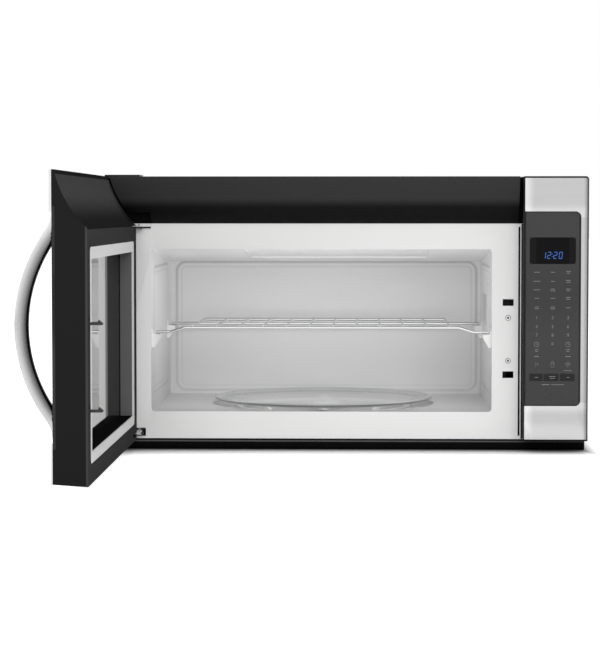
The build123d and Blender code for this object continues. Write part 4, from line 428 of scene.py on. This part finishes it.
# ------------------------------------------------------------------ curved vent band
# Satin black moulding over the air outlets, swept from the left side to the control panel. The same
# plastic makes the slatted grille and the hinge cap.
band_plastic = Finish("band_plastic", Specular_IOR_Level=0.12)
# By height: nearly black below 384 mm and paler above 402 mm, painted light above and painted shade below.
band_painted_light = band_plastic.between(0.384, 0.402, band_plastic.axis(2))
band_tone_with_light = band_plastic.blend(band_painted_light, (0.0025, 0.0025, 0.0027), (0.030, 0.030, 0.031))
band_plastic.set("Base_Color", band_tone_with_light)
leather = band_plastic.noise(700.0, 2.0)
band_plastic.set("Roughness", 0.32 + leather * 0.12)
band_plastic.bump(leather, 0.00006, 0.3)
band_plastic.on("vent_deflector", "vent_grille", "hinge_cover")
eased("vent_deflector", "chassis", 0.0006)
shade_paint = Finish("shade_paint", Base_Color=(0.0025, 0.0025, 0.0027), Specular_IOR_Level=0.04)
shade_paint.set("Roughness", 0.5 + shade_paint.noise(30.0) * 0.2)
shade_paint.bump(shade_paint.noise(300.0, 2.0), 0.0002, 0.3)
shade_paint.on("upper_panel")

# Granular carbon held behind the outlets by a card frame.
carbon = Finish("carbon_grains")
grains = carbon.cells(420.0)
carbon.set("Base_Color", carbon.blend(grains, (0.012, 0.012, 0.012), (0.05, 0.05, 0.05)))
carbon.set("Roughness", 0.75 + grains * 0.2)
carbon.bump(grains, 0.0012, 0.9)
carbon.on("charcoal_filter")

# ------------------------------------------------------------------ cavity
# Welded steel box in light grey enamel with fine speckles. The panels of the back and the ceiling are
# pressed in the mesh. The finish draws the crease round the back's, and the side panels as a whole,
# as darker lines of painted shade, and paints the walls paler with height as painted light.
liner = Finish("cavity_enamel", Coat_Weight=0.2, Coat_Roughness=0.2)


def pressed(across, up, middle, half, corner):
    """Distance out from the edge of a pressed panel with round corners; minus inside it."""
    aside = (abs(across - middle[0]) - (half[0] - corner)).at_least(0.0)
    above = (abs(up - middle[1]) - (half[1] - corner)).at_least(0.0)
    return aside.distance(above) - corner


cavity_middle, cavity_side, cavity_back, ceiling = -0.0399, 0.262, -0.040, 0.3262
here_x, here_y, here_z = liner.axis(0), liner.axis(1), liner.axis(2)
back_panel = pressed(here_x, here_z, (-0.0378, 0.1790), (0.2625, 0.1130), 0.018)
side_panel = pressed(here_y, here_z, (-0.2080, 0.1880), (0.1360, 0.1020), 0.020)
on_back = here_y > cavity_back
on_side = (abs(here_x - cavity_middle) > cavity_side) * (here_y < cavity_back - 0.005)
edge = back_panel * on_back + side_panel * on_side + (1.0 - on_back - on_side)
crease_shade = liner.between(0.0042, 0.0, abs(edge + 0.0005))
second_crease_shade = liner.between(0.0030, 0.0, abs(edge + 0.0090))
speckle = liner.between(0.60, 0.72, liner.noise(800.0, 2.0))
cloud = liner.noise(5.0, 3.0)
# The walls are painted paler with height, up to the ceiling: painted light.
rise = liner.between(0.09, 0.29, here_z) * (here_z < ceiling)
ground = liner.blend(rise, liner.blend(cloud, (0.63, 0.63, 0.63), (0.67, 0.67, 0.67)), (0.97, 0.97, 0.97))
ground = liner.blend(speckle * 0.35, ground, (0.56, 0.56, 0.56))
ground = liner.blend(crease_shade * 0.55 + second_crease_shade * 0.18, ground, (0.40, 0.40, 0.40))
liner.set("Base_Color", ground)
liner.set("Roughness", 0.42 + cloud * 0.12)
liner.bump(liner.between(-0.005, 0.002, edge) + liner.noise(380.0, 2.0) * 0.04, 0.0025, 0.5)
liner.on("cavity_liner")

# Mica sheet over the microwave port: thin flakes pressed together.
mica = Finish("mica_sheet")
flake = mica.noise(60.0, 5.0, mica.place(scale=(1.0, 1.0, 3.0)))
mica.set("Base_Color", mica.blend(flake, (0.56, 0.56, 0.55), (0.68, 0.68, 0.67)))
mica.set("Roughness", 0.38 + flake * 0.2)
mica.bump(flake, 0.0002, 0.4)
mica.on("waveguide_cover")


# Moulded white parts that microwaves don't heat: rack clips, roller ring, wheels and the hub.
def moulded(name, colour, rough, *names):
    resin = Finish(name)
    flow = resin.noise(18.0, 3.0)
    skin = resin.noise(650.0, 2.0)
    low = tuple(c * 0.93 for c in colour)
    resin.set("Base_Color", resin.blend(flow, low, colour))
    resin.set("Roughness", rough + skin * 0.14)
    resin.bump(skin, 0.00008, 0.35)
    resin.on(*names)


moulded("white_resin", (0.86, 0.86, 0.855), 0.38, "rack_clips", "roller_ring", "roller_wheel_1",
        "roller_wheel_2", "roller_wheel_3", "turntable_coupler")

# ------------------------------------------------------------------ wire rack
# Chromed steel wires welded across three rails. The rack rests on the clips at the cavity's sides
# and slides out to the front.
rack_chrome = Finish("rack_chrome", Metallic=1.0)
drawn = rack_chrome.noise(300.0, 2.0, rack_chrome.place(scale=(1.0, 0.08, 1.0)))
# The wires are painted bright on their sides and dark on their tops and undersides: a painted reflection.
sides_painted_bright = rack_chrome.between(0.90, 0.60, abs(rack_chrome.axis(2, "Normal") + 0.1))
tops_and_undersides_dark = rack_chrome.blend(drawn, (0.08, 0.08, 0.082), (0.16, 0.16, 0.16))
rack_chrome.set("Base_Color", rack_chrome.blend(sides_painted_bright, tops_and_undersides_dark, (0.93, 0.93, 0.93)))
rack_chrome.set("Roughness", 0.07 + drawn * 0.08)
rack_chrome.bump(drawn, 0.00005, 0.3)
rack_chrome.on("rack")

# ------------------------------------------------------------------ turntable plate
# Pressed glass dish that rests on three rollers and is turned by the hub under its middle. Its rim
# is fire polished, and the middle is slightly wavy.
plate_low, plate_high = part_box("turntable_plate")
plate_centre = (plate_low + plate_high) / 2
dish = bmesh.new()
# Its section, as distance from the middle and height: underside, rim, and the inside back to the middle.
outline = [(0.0, 0.0), (0.030, 0.0), (0.1570, 0.0), (0.1595, 0.0003), (0.1690, 0.0027), (0.1785, 0.0050),
           (0.1800, 0.0060), (0.1810, 0.0072), (0.1810, 0.0084), (0.1803, 0.0092), (0.1793, 0.0095),
           (0.1780, 0.0092), (0.1735, 0.0076), (0.1680, 0.0056), (0.1655, 0.0050), (0.1630, 0.0049),
           (0.030, 0.0049), (0.0, 0.0049)]
ring_verts = [dish.verts.new((plate_centre.x + r, plate_centre.y, plate_low.z + h)) for r, h in outline]
ring_edges = [dish.edges.new(pair) for pair in zip(ring_verts, ring_verts[1:])]
bmesh.ops.spin(dish, geom=ring_verts + ring_edges, cent=(plate_centre.x, plate_centre.y, 0.0),
               axis=(0, 0, 1), angle=math.tau, steps=144, use_merge=True)
bmesh.ops.remove_doubles(dish, verts=dish.verts, dist=0.00002)
bmesh.ops.recalc_face_normals(dish, faces=dish.faces)
dish_glass = Finish("dish_glass", Roughness=0.04, IOR=1.5)
out = (dish_glass.axis(0) - plate_centre.x).distance(dish_glass.axis(1) - plate_centre.y)
rim = dish_glass.between(0.1650, 0.1668, out)
step = dish_glass.between(0.0016, 0.0, abs(out - 0.1652))
seeds = dish_glass.noise(40.0, 3.0)
# The rim is greyer than the middle, and its underside is painted dark: painted shade under the rim.
facing_down_shade = dish_glass.axis(2, "Normal") < -0.25
glass_tone = dish_glass.blend(rim, (0.80, 0.81, 0.805), (0.54, 0.55, 0.545))
dish_glass.set("Base_Color", dish_glass.blend(facing_down_shade * rim, glass_tone, (0.20, 0.21, 0.205)))
turned_away = dish_glass.node("LayerWeight", None, {"Blend": 0.25}, "Facing")
dish_glass.set("Alpha", 0.34 + seeds * 0.04 + rim * 0.36 + step * 0.15 + turned_away * 0.08)
dish_glass.bump(dish_glass.noise(22.0, 2.0), 0.0001, 0.04)
glass_dish = piece("glass_dish", dish, dish_glass.material)
glass_dish.data.shade_smooth()
glass_dish.visible_shadow = False
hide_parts("turntable_plate")
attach(glass_dish, "turntable")

# ------------------------------------------------------------------ door tray
# Black moulded tray, satin with a fine texture. It carries the glass, the trims and the window, and
# turns on the pins of the two hinges.
tray = Finish("tray_plastic", Specular_IOR_Level=0.0)
tray_x, tray_y, tray_z = tray.axis(0), tray.axis(1), tray.axis(2)
window_low, window_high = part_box("inner_window")
beside_window, recess_floor, recess_mouth = 0.002, (-0.3535, -0.3521), -0.3343
in_window = tray_y.within(window_low.y - beside_window, window_high.y + beside_window) \
    * tray_z.within(window_low.z - beside_window, window_high.z + beside_window) \
    * tray_x.within(recess_floor[0], recess_mouth)
# The cove is painted paler towards its top: painted light.
cove_painted_light = tray.blend(tray.between(0.364, 0.408, tray_z), (0.0130, 0.0130, 0.0135), (0.053, 0.053, 0.054))
# Where the painted tones change: through the tray's thickness, up it, and at its free end. The inner
# face is painted paler and the outside darker: painted light and painted shade on one black plastic.
inner_skin, inner_rim = -0.3330, -0.3350
lip_foot, lip_top, tray_top = 0.3530, 0.3560, 0.4286
end_edge, end_face = -1.0735, -1.0738
inner_face = (tray_z < lip_top) * (tray_x > inner_skin) + (tray_y < end_edge) * (tray_x > inner_rim)
black = tray.blend(inner_face.at_most(1.0), cove_painted_light, (0.046, 0.046, 0.047))
outside = (tray_y < end_face) * (tray_x < inner_rim) + (tray_z > tray_top)
outside = outside + (tray_x < inner_rim) * (tray_z < lip_foot)
black = tray.blend(outside.at_most(1.0), black, (0.0138, 0.0138, 0.0142))
# Edges between the end face and the inner face are painted pale: a painted highlight.
edge_highlight = tray.axis(1, "Normal").within(-0.95, -0.2)
black = tray.blend(edge_highlight, black, (0.075, 0.075, 0.076))
# In the window's recess the side walls are painted pale as painted light, and the floor, top and foot
# nearly black as painted shade.
shaded_wall = (tray_x < recess_floor[1]) + (abs(tray.axis(2, "Normal")) > 0.5)
wall_light_and_shade = tray.blend(shaded_wall.at_most(1.0), (0.14, 0.14, 0.142), (0.006, 0.006, 0.006))
tray.set("Base_Color", tray.blend(in_window, black, wall_light_and_shade))
spark = tray.noise(600.0, 2.0)
tray.set("Roughness", 0.42 + spark * 0.14)
tray.bump(spark, 0.00008, 0.35)
tray.on("door_frame")
eased("door_frame", "door", 0.0009, 0.10)

# Light grey moulded ring round the window on the cavity side.
moulded("ring_plastic", (0.74, 0.74, 0.735), 0.32, "door_bezel")
eased("door_bezel", "door", 0.0005)

# ------------------------------------------------------------------ door glass and window
# Smoked outer glass and a tinted inner window, with the punched screen between them in a steel
# channel. All of them are held by the tray.
smoked = Finish("smoked_glass", Base_Color=(0.008, 0.008, 0.009), Coat_Weight=0.6, Coat_Roughness=0.03,
                Specular_IOR_Level=0.1)
smear = smoked.noise(7.0, 4.0)
smoked.set("Roughness", 0.08 + smear * 0.08)
smoked.bump(smear, 0.0002, 0.05)
smoked.on("door_glass")

window = Finish("inner_glass", Base_Color=(0.010, 0.010, 0.011), Coat_Weight=1.0, Coat_Roughness=0.01)
haze = window.noise(5.0, 4.0)
window.set("Roughness", 0.03 + haze * 0.03)
window.bump(haze, 0.0001, 0.02)
# The pane's margin on the hinge side is made dark and matt, so it mirrors less than the clear part:
# painted shade in place of the darker reflection on that margin.
matt = {"Base Color": (0.014, 0.014, 0.014), "Roughness": 0.8, "Specular IOR Level": 0.0}
matt_margin = window.node("BsdfPrincipled", None, matt)
margin = window.between(-0.685, -0.672, window.axis(1)) * 0.6
mixed = window.node("MixShader", None, {0: margin, 1: Level(window, window.shader.outputs[0]), 2: matt_margin})
window.plug(window.tree.nodes["Material Output"].inputs["Surface"], mixed)
window.on("inner_window")

screen = Finish("punched_screen", Base_Color=(0.01, 0.01, 0.01), Metallic=0.4)
punch = screen.between(0.25, 0.4, screen.cells(620.0))
screen.set("Roughness", 0.5 - punch * 0.1)
screen.bump(punch, 0.0004, 0.8)
screen.on("window_screen")

choke = Finish("choke_steel", Metallic=0.8)
rolled = choke.noise(40.0, 3.0, choke.place(scale=(1.0, 0.1, 1.0)))
choke.set("Base_Color", choke.blend(rolled, (0.30, 0.30, 0.31), (0.42, 0.42, 0.43)))
choke.set("Roughness", 0.35 + rolled * 0.15)
choke.on("door_choke")


# ------------------------------------------------------------------ stainless trims
# Brushed stainless strips above and below the glass, and the skin of the control panel. The brush
# marks run along the strips and across the panel.
def brushed(name, stretch, *names):
    steel = Finish(name, Metallic=1.0)
    tone = 0.60
    mark = steel.noise(420.0, 4.0, steel.place(scale=stretch), 0.65)
    cloud = steel.noise(3.0, 2.0)
    low = tuple(tone * c for c in (0.93, 0.93, 0.935))
    high = tuple(tone * c for c in (1.06, 1.06, 1.06))
    steel.set("Roughness", 0.26 + mark * 0.14 + cloud * 0.05)
    steel.bump(mark, 0.00004, 0.35)
    steel.on(*names)
    return steel, steel.blend(mark, low, high)


trim_steel, trim_grain = brushed("door_stainless", (1.0, 0.015, 1.0), "door_trim_top", "door_trim_bottom")
# The cut end of each door trim is painted nearly white: a painted highlight.
cut_end_highlight = trim_steel.axis(1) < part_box("door_trim_top")[0].y + 0.0006
trim_steel.set("Base_Color", trim_steel.blend(cut_end_highlight, trim_grain, (0.88, 0.88, 0.88)))
# The panel's skin is rolled over at its left side. It is painted pale by that side and in bands towards
# its foot and its top as painted highlights, and dark by its right edge as painted shade.
panel_steel, panel_grain = brushed("panel_stainless", (0.015, 1.0, 1.0), "control_trim")
skin_low, skin_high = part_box("control_trim")
skin_x, skin_z = panel_steel.axis(0), panel_steel.axis(2)
panel_highlights = panel_steel.between(skin_low.x + 0.016, skin_low.x + 0.001, skin_x) * 0.8
panel_highlights = panel_highlights + panel_steel.between(0.056, 0.024, skin_z) * 0.9
panel_highlights = panel_highlights + panel_steel.between(0.060, 0.074, skin_z) * (skin_z < 0.08) * 0.5
panel_highlights = panel_highlights + panel_steel.between(0.392, 0.380, skin_z) * (skin_z > 0.37) * 0.45
turned_edge_shade = panel_steel.between(skin_high.x - 0.0060, skin_high.x - 0.0006, skin_x)
shade = panel_steel.blend(panel_highlights.at_most(1.0), panel_grain, (0.88, 0.88, 0.88))
panel_steel.set("Base_Color", panel_steel.blend(turned_edge_shade * 0.6, shade, (0.24, 0.24, 0.24)))
eased("door_trim_top", "door", 0.0003)
eased("door_trim_bottom", "door", 0.0003)
eased("control_trim", "chassis", 0.0005)

# ------------------------------------------------------------------ handle
# Solid bow of polished stainless that flares on to the glass at both ends. Its inner side is painted
# nearly black, a painted reflection of the dark door, so it grades from bright outside to dark inside.
grip_low, grip_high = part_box("door_handle")
door_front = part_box("door_trim_top")[0].x
glass_front = door_front + 0.0032
bow_radius, bow_depth, bow_rise, flare_radius = 0.210, 0.0183, 0.0475, 0.040
bow_middle = Vector((door_front - bow_rise + bow_radius, (grip_low.y + grip_high.y) / 2, 0.2296))
reach = bow_radius + flare_radius
lean = math.acos((bow_middle.x - (glass_front - 0.0015) + flare_radius) / reach)
bow = bmesh.new()
bmesh.ops.create_grid(bow, x_segments=1, y_segments=1, size=0.5)
bmesh.ops.scale(bow, vec=(bow_depth, grip_high.y - grip_low.y, 1.0), verts=bow.verts)
bmesh.ops.bevel(bow, geom=bow.verts[:], offset=0.0074, offset_type="OFFSET", segments=7, profile=0.5,
                affect="VERTICES", material=-1)
bar_middle = (bow_middle.x - bow_radius + bow_depth / 2, bow_middle.y, bow_middle.z)
bmesh.ops.translate(bow, verts=bow.verts, vec=bar_middle)
bmesh.ops.rotate(bow, verts=bow.verts, cent=bow_middle, matrix=Matrix.Rotation(lean, 3, "Y"))
bmesh.ops.delete(bow, geom=bow.faces[:], context="FACES_ONLY")
first_loop = bow.edges[:]
main = bmesh.ops.spin(bow, geom=bow.verts[:] + first_loop, cent=bow_middle, axis=(0, 1, 0),
                      angle=-2 * lean, steps=56)
last_loop = [e for e in main["geom_last"] if isinstance(e, bmesh.types.BMEdge)]
for loop, side in ((first_loop, 1), (last_loop, -1)):
    centre = bow_middle + Vector((-reach * math.cos(lean), 0.0, side * reach * math.sin(lean)))
    ends = list({v for e in loop for v in e.verts})
    flare = bmesh.ops.spin(bow, geom=ends + loop, cent=centre, axis=(0, 1, 0), angle=-side * lean, steps=16)
    tip = [e for e in flare["geom_last"] if isinstance(e, bmesh.types.BMEdge)]
    bmesh.ops.edgeloop_fill(bow, edges=tip)
bmesh.ops.bisect_plane(bow, geom=bow.verts[:] + bow.edges[:] + bow.faces[:],
                       plane_co=(glass_front, 0.0, 0.0), plane_no=(1.0, 0.0, 0.0), clear_outer=True)
bmesh.ops.holes_fill(bow, edges=bow.edges[:], sides=0)
bmesh.ops.recalc_face_normals(bow, faces=bow.faces)
polish = Finish("handle_polish", Metallic=1.0)
line = polish.noise(380.0, 4.0, polish.place(scale=(0.3, 1.0, 0.05)), 0.6)
from_middle = (polish.axis(0) - bow_middle.x).distance(polish.axis(2) - bow_middle.z)
bright_outside_reflection = polish.between(bow_radius - bow_depth - 0.0008, bow_radius + 0.0004, from_middle)
grain = polish.blend(line, (0.72, 0.72, 0.72), (0.84, 0.84, 0.84))
polish.set("Base_Color", polish.blend(bright_outside_reflection, (0.024, 0.024, 0.024), grain))
polish.set("Roughness", 0.20 + line * 0.10)
polish.bump(line, 0.00003, 0.3)
bow_handle = piece("bow_handle", bow, polish.material)
bow_handle.data.shade_smooth()
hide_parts("door_handle")
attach(bow_handle, "door")

# ------------------------------------------------------------------ latch and hinges
# The latch bar and its hooks are black acetal; its spring is bright wire. The hinges are stamped
# steel, plated at the upper pin and the lower tab and white by the frame. Elsewhere they are painted
# nearly black: painted shade under the upper plate and in the lower notch.
moulded("latch_acetal", (0.02, 0.02, 0.021), 0.35, "latch_bar")
rack_chrome.on("latch_spring")
hinge_steel = Finish("hinge_steel")
stamp = hinge_steel.noise(120.0, 3.0)
hinge_x, hinge_y, hinge_z = hinge_steel.axis(0), hinge_steel.axis(1), hinge_steel.axis(2)
upper_pin_foot, lower_tab_z, lower_tab_x = 0.3553, (0.0225, 0.0300), (-0.3345, -0.3262)
bare = (hinge_z > upper_pin_foot) + hinge_z.within(*lower_tab_z) * hinge_x.within(*lower_tab_x)
painted_arm_z, frame_face = (0.30, 0.3522), -0.3960
white = hinge_z.within(*painted_arm_z) * (hinge_y > frame_face)
plated = hinge_steel.blend(stamp, (0.80, 0.80, 0.80), (0.90, 0.90, 0.90))
skin = hinge_steel.blend(bare, (0.012, 0.012, 0.012), plated)
hinge_steel.set("Base_Color", hinge_steel.blend(white, skin, (0.78, 0.78, 0.775)))
hinge_steel.set("Metallic", bare * 0.6)
hinge_steel.set("Roughness", 0.30 + stamp * 0.15)
hinge_steel.bump(stamp, 0.0001, 0.25)
hinge_steel.on("hinge_upper", "hinge_lower")

# ------------------------------------------------------------------ control panel
# Moulded dark housing, a touch glass printed from behind, and a darker window over the clock. The
# stainless skin round them has its finish with the door's trims.
housing = Finish("carrier_plastic", Specular_IOR_Level=0.0)
# Both sides of the housing are painted paler than its front: painted light on the sides.
skin_side = housing.axis(0) > skin_high.x - 0.0002
door_side = (housing.axis(0) < skin_low.x + 0.0004) * (housing.axis(1) > skin_low.y + 0.014)
side_light_tone = housing.blend(skin_side, (0.010, 0.010, 0.011), (0.075, 0.075, 0.076))
housing.set("Base_Color", housing.blend(door_side, side_light_tone, (0.060, 0.060, 0.061)))
housing_grain = housing.noise(650.0, 2.0)
housing.set("Roughness", 0.42 + housing_grain * 0.14)
housing.bump(housing_grain, 0.00008, 0.35)
housing.on("control_carrier")
touch = Finish("touch_glass", Coat_Weight=0.3, Coat_Roughness=0.08, Specular_IOR_Level=0.2)
glass_low, glass_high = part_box("control_glass")
glass_x, glass_z = touch.axis(0), touch.axis(2)
border = (glass_x > glass_high.x - 0.0028) + (glass_x < glass_low.x + 0.0016)
border = border + (glass_z > glass_high.z - 0.0014) + (glass_z < glass_low.z + 0.0014)
fingers = touch.noise(14.0, 4.0)
print_tone = touch.blend(fingers, (0.031, 0.031, 0.032), (0.036, 0.036, 0.037))
touch.set("Base_Color", touch.blend(border.at_most(1.0), print_tone, (0.006, 0.006, 0.006)))
touch.set("Roughness", 0.22 + fingers * 0.12)
touch.bump(fingers, 0.0001, 0.05)
touch.on("control_glass")
clock_window = Finish("clock_window", Specular_IOR_Level=0.10)
filter_grain = clock_window.noise(400.0)
cell = clock_window.axis(0).within(0.2975, 0.3492)
clock_window.set("Base_Color", clock_window.blend(cell, (0.0062, 0.0062, 0.0064), (0.0022, 0.0022, 0.0030)))
clock_window.set("Roughness", 0.15 + filter_grain * 0.08)
clock_window.on("display_window")

# The print round the window closes its corners with a small radius.
window_low, window_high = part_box("display_window")
face_y, corner_radius = window_low.y, 0.0030
corners = bmesh.new()
for x, side in ((window_low.x, 1), (window_high.x, -1)):
    for z, rise in ((window_low.z, 1), (window_high.z, -1)):
        middle = Vector((x + side * corner_radius, face_y - 0.00010, z + rise * corner_radius))
        start = corners.verts.new(middle - Vector((side * corner_radius, 0.0, 0.0)))
        bmesh.ops.spin(corners, geom=[start], cent=middle, axis=(0, 1, 0), angle=-side * rise * math.pi / 2,
                       steps=8)
        tip = corners.verts.new((x, middle.y, z))
        on_arc = corner_radius * 1.001
        fan = [v for v in corners.verts if (v.co - middle).length < on_arc or v is tip]
        bmesh.ops.contextual_create(corners, geom=fan)
thick = bmesh.ops.extrude_face_region(corners, geom=corners.faces[:])["geom"]
bmesh.ops.translate(corners, vec=(0.0, 0.00008, 0.0),
                    verts=[v for v in thick if isinstance(v, bmesh.types.BMVert)])
bmesh.ops.recalc_face_normals(corners, faces=corners.faces)
window_corners = piece("window_corners", corners, touch.material)
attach(window_corners, "chassis")

# Clock digits: lit bars behind the window.
bars = {"1": "bc", "2": "abged", "0": "abcdef"}
digit_height, digit_width, bar_width = 0.0100, 0.0046, 0.0011
corner = {"a": ((0, 1), (1, 1)), "b": ((1, 1), (1, 0.5)), "c": ((1, 0.5), (1, 0)), "d": ((0, 0), (1, 0)),
          "e": ((0, 0), (0, 0.5)), "f": ((0, 0.5), (0, 1)), "g": ((0, 0.5), (1, 0.5))}
clock = bmesh.new()


def lit(middle, size):
    bar = bmesh.ops.create_cube(clock, size=1.0)["verts"]
    bmesh.ops.scale(clock, vec=size, verts=bar)
    bmesh.ops.translate(clock, vec=middle, verts=bar)


for height in (0.3, 0.7):
    lit((0.3220, 0.0, height * digit_height), (bar_width, 0.0001, bar_width))
for sign, left in (("1", 0.3069), ("2", 0.3149), ("2", 0.3245), ("0", 0.3329)):
    for bar in bars[sign]:
        (x0, z0), (x1, z1) = corner[bar]
        length = abs(x1 - x0) * digit_width + abs(z1 - z0) * digit_height - bar_width * 0.5
        size = (length, 0.0001, bar_width) if x0 != x1 else (bar_width, 0.0001, length)
        lit((left + (x0 + x1) / 2 * digit_width, 0.0, (z0 + z1) / 2 * digit_height), size)
for v in clock.verts:
    v.co.x += 0.10 * v.co.z
bmesh.ops.translate(clock, verts=clock.verts, vec=(0.0, face_y - 0.00012, 0.3058))
glow = Finish("clock_glow", Roughness=0.5, Emission_Strength=1.0)
flicker = glow.noise(900.0)
glow.set("Base_Color", glow.blend(flicker, (0.004, 0.012, 0.05), (0.006, 0.02, 0.08)))
glow.set("Emission_Color", glow.blend(flicker, (0.026, 0.090, 0.36), (0.050, 0.160, 0.54)))
clock_digits = piece("clock_digits", clock, glow.material)
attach(clock_digits, "chassis")

# Key legends, printed on the glass: plain numbers, simple marks, and short dashes where the real
# keys have words.
legend = bmesh.new()
ink_y = glass_low.y - 0.00008


def dash(x, z, length, height=0.0010, turn=0.0):
    mark = bmesh.ops.create_cube(legend, size=1.0)["verts"]
    bmesh.ops.scale(legend, vec=(length, 0.00006, height), verts=mark)
    bmesh.ops.rotate(legend, matrix=Matrix.Rotation(turn, 3, "Y"), verts=mark)
    bmesh.ops.translate(legend, vec=(x, ink_y, z), verts=mark)


def loop(x, z, radius, sides=28, line=0.0006, turn=0.0):
    outer = bmesh.ops.create_circle(legend, segments=sides, radius=radius)["verts"]
    inner = bmesh.ops.create_circle(legend, segments=sides, radius=radius - line)["verts"]
    edges = list({e for v in outer + inner for e in v.link_edges})
    bmesh.ops.bridge_loops(legend, edges=edges)
    mark = outer + inner
    bmesh.ops.rotate(legend, matrix=Matrix.Rotation(turn, 3, "Z"), verts=mark)
    bmesh.ops.rotate(legend, matrix=Matrix.Rotation(math.pi / 2, 3, "X"), verts=mark)
    bmesh.ops.translate(legend, vec=(x, ink_y, z), verts=mark)


def word(x, z, lengths, up=0.0013, pitch=0.0027):
    """A key's word: one dash, or two under each other. The lengths are in millimetres."""
    for place, length in enumerate(lengths):
        dash(x, z + (up - pitch * place if len(lengths) > 1 else 0.0), length / 1000, 0.0009)


columns = (0.2987, 0.3236, 0.3478)
words = ((0.2844, (8.5,), (6.5,), (7.5, 5.5)), (0.2702, (10.5,), (5.5,), (7.5, 7.0)),
         (0.2569, (10.0,), (6.5, 8.0), (7.0, 5.5)), (0.2436, (7.0,), (8.0,), (7.5, 6.0)),
         (0.2287, (6.0, 6.5), (6.5, 7.5), (7.0,)), (0.1620, (5.5, 5.0), (), (7.0, 5.0)))
for z, *row in words:
    for x, lengths in zip(columns, row):
        word(x, z, lengths)
dash(columns[0], 0.1524, 0.0068, 0.0013)
dash(columns[2], 0.1524, 0.0085, 0.0013)
for x in (columns[0], columns[2]):
    loop(x, 0.1713, 0.0039)
    dash(x, 0.1722, 0.0006, 0.0022)
    dash(x + 0.0008, 0.1712, 0.0018, 0.0006)
loop(columns[0], 0.1401, 0.0038, sides=3, turn=-math.pi / 2)
loop(columns[1], 0.1424, 0.0024)
loop(columns[1], 0.1382, 0.0038, sides=4, turn=math.pi / 4)
loop(columns[2], 0.1401, 0.0044, sides=4)
for turn in (math.pi / 4, -math.pi / 4):
    dash(columns[2], 0.1401, 0.0034, 0.0006, turn)
dash(columns[2], 0.1302, 0.0125, 0.0008)
for x, lengths in ((columns[0], (5.5,)), (columns[1], (10.0, 7.5)), (0.3482, (4.5,))):
    word(x, 0.1194, lengths, 0.0014, 0.0028)
dash(0.3130, 0.1081, 0.0115, 0.0012)
dash(0.3318, 0.1081, 0.0205, 0.0008)
numbers = [(str(3 * row + column + 1), columns[column], z) for row, z in enumerate((0.2130, 0.1989, 0.1856))
           for column in range(3)] + [("0", columns[1], 0.1722)]
for text, x, z in numbers:
    letter = bpy.data.curves.new("number", "FONT")
    letter.body = text
    letter.size = 0.0070
    letter.align_x = "CENTER"
    letter.align_y = "CENTER"
    shape = bpy.data.objects.new("number", letter)
    flat = bpy.data.meshes.new_from_object(shape)
    flat.transform(Matrix.Translation((x, ink_y, z)) @ Matrix.Rotation(math.pi / 2, 4, "X"))
    legend.from_mesh(flat)
    bpy.data.meshes.remove(flat)
    bpy.data.objects.remove(shape)
    bpy.data.curves.remove(letter)
ink = Finish("grey_ink", Roughness=0.5)
worn = ink.noise(500.0)
ink.set("Base_Color", ink.blend(worn, (0.15, 0.15, 0.155), (0.22, 0.22, 0.225)))
key_legends = piece("key_legends", legend, ink.material)
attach(key_legends, "chassis")

# Three dark keys in a row at the foot, printed as one strip with two gaps.
foot = bmesh.new()
key_height, key_middle = 0.0118, 0.1195
for x0, x1 in ((0.2874, 0.3086), (0.3102, 0.3334), (0.3356, 0.3586)):
    key = bmesh.ops.create_grid(foot, x_segments=1, y_segments=1, size=0.5)["verts"]
    bmesh.ops.scale(foot, vec=(x1 - x0, key_height, 1.0), verts=key)
    bmesh.ops.bevel(foot, geom=key, offset=0.0008, offset_type="OFFSET", segments=3, profile=0.5,
                    affect="VERTICES", material=-1)
    moved = [v for v in foot.verts if v.co.z == 0.0]
    bmesh.ops.rotate(foot, matrix=Matrix.Rotation(math.pi / 2, 3, "X"), verts=moved)
    bmesh.ops.translate(foot, vec=((x0 + x1) / 2, glass_low.y - 0.00003, key_middle), verts=moved)
dark_ink = Finish("dark_ink", Roughness=0.3, Specular_IOR_Level=0.25)
dark_grain = dark_ink.noise(300.0)
dark_ink.set("Base_Color", dark_ink.blend(dark_grain, (0.009, 0.009, 0.009), (0.013, 0.013, 0.013)))
foot_keys = piece("foot_keys", foot, dark_ink.material)
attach(foot_keys, "chassis")

# ------------------------------------------------------------------ electrics
# Green circuit board behind the panel, black moulded switches on a nylon bracket, and the plastic
# parts of the fan and the blower.
board = Finish("board_green", Coat_Weight=0.3)
tracks = board.between(0.45, 0.5, board.cells(120.0, feature="DISTANCE_TO_EDGE") * 3.0)
board.set("Base_Color", board.blend(tracks, (0.30, 0.24, 0.08), (0.02, 0.10, 0.04)))
board.set("Roughness", 0.35 + tracks * 0.1)
board.bump(tracks, 0.0001, 0.4)
board.on("control_board")
moulded("switch_black", (0.02, 0.02, 0.022), 0.4, "interlock_switches", "hv_diode")
moulded("bracket_nylon", (0.62, 0.61, 0.57), 0.45, "interlock_bracket", "fan_blade")
moulded("fan_black", (0.025, 0.025, 0.027), 0.45, "fan_housing", "blower_wheels")

# ------------------------------------------------------------------ power parts
# The transformer and the fan's motor have cores of stacked steel sheets. The magnetron, the
# capacitor and the other two motors are cased in pressed metal.
core = Finish("laminated_core", Metallic=0.5)
sheets = core.bands(320.0, "Y")
rust = core.noise(30.0, 4.0)
core.set("Base_Color", core.blend(sheets * 0.6 + rust * 0.4, (0.10, 0.09, 0.085), (0.24, 0.21, 0.19)))
core.set("Roughness", 0.5 + rust * 0.2)
core.bump(sheets, 0.0003, 0.5)
core.on("hv_transformer", "fan_motor")
can = Finish("pressed_aluminium", Metallic=0.95)
scuff = can.noise(80.0, 4.0)
can.set("Base_Color", can.blend(scuff, (0.55, 0.55, 0.56), (0.72, 0.72, 0.73)))
can.set("Roughness", 0.28 + scuff * 0.2)
can.bump(scuff, 0.0001, 0.3)
can.on("magnetron", "hv_capacitor", "turntable_motor", "blower_motor")
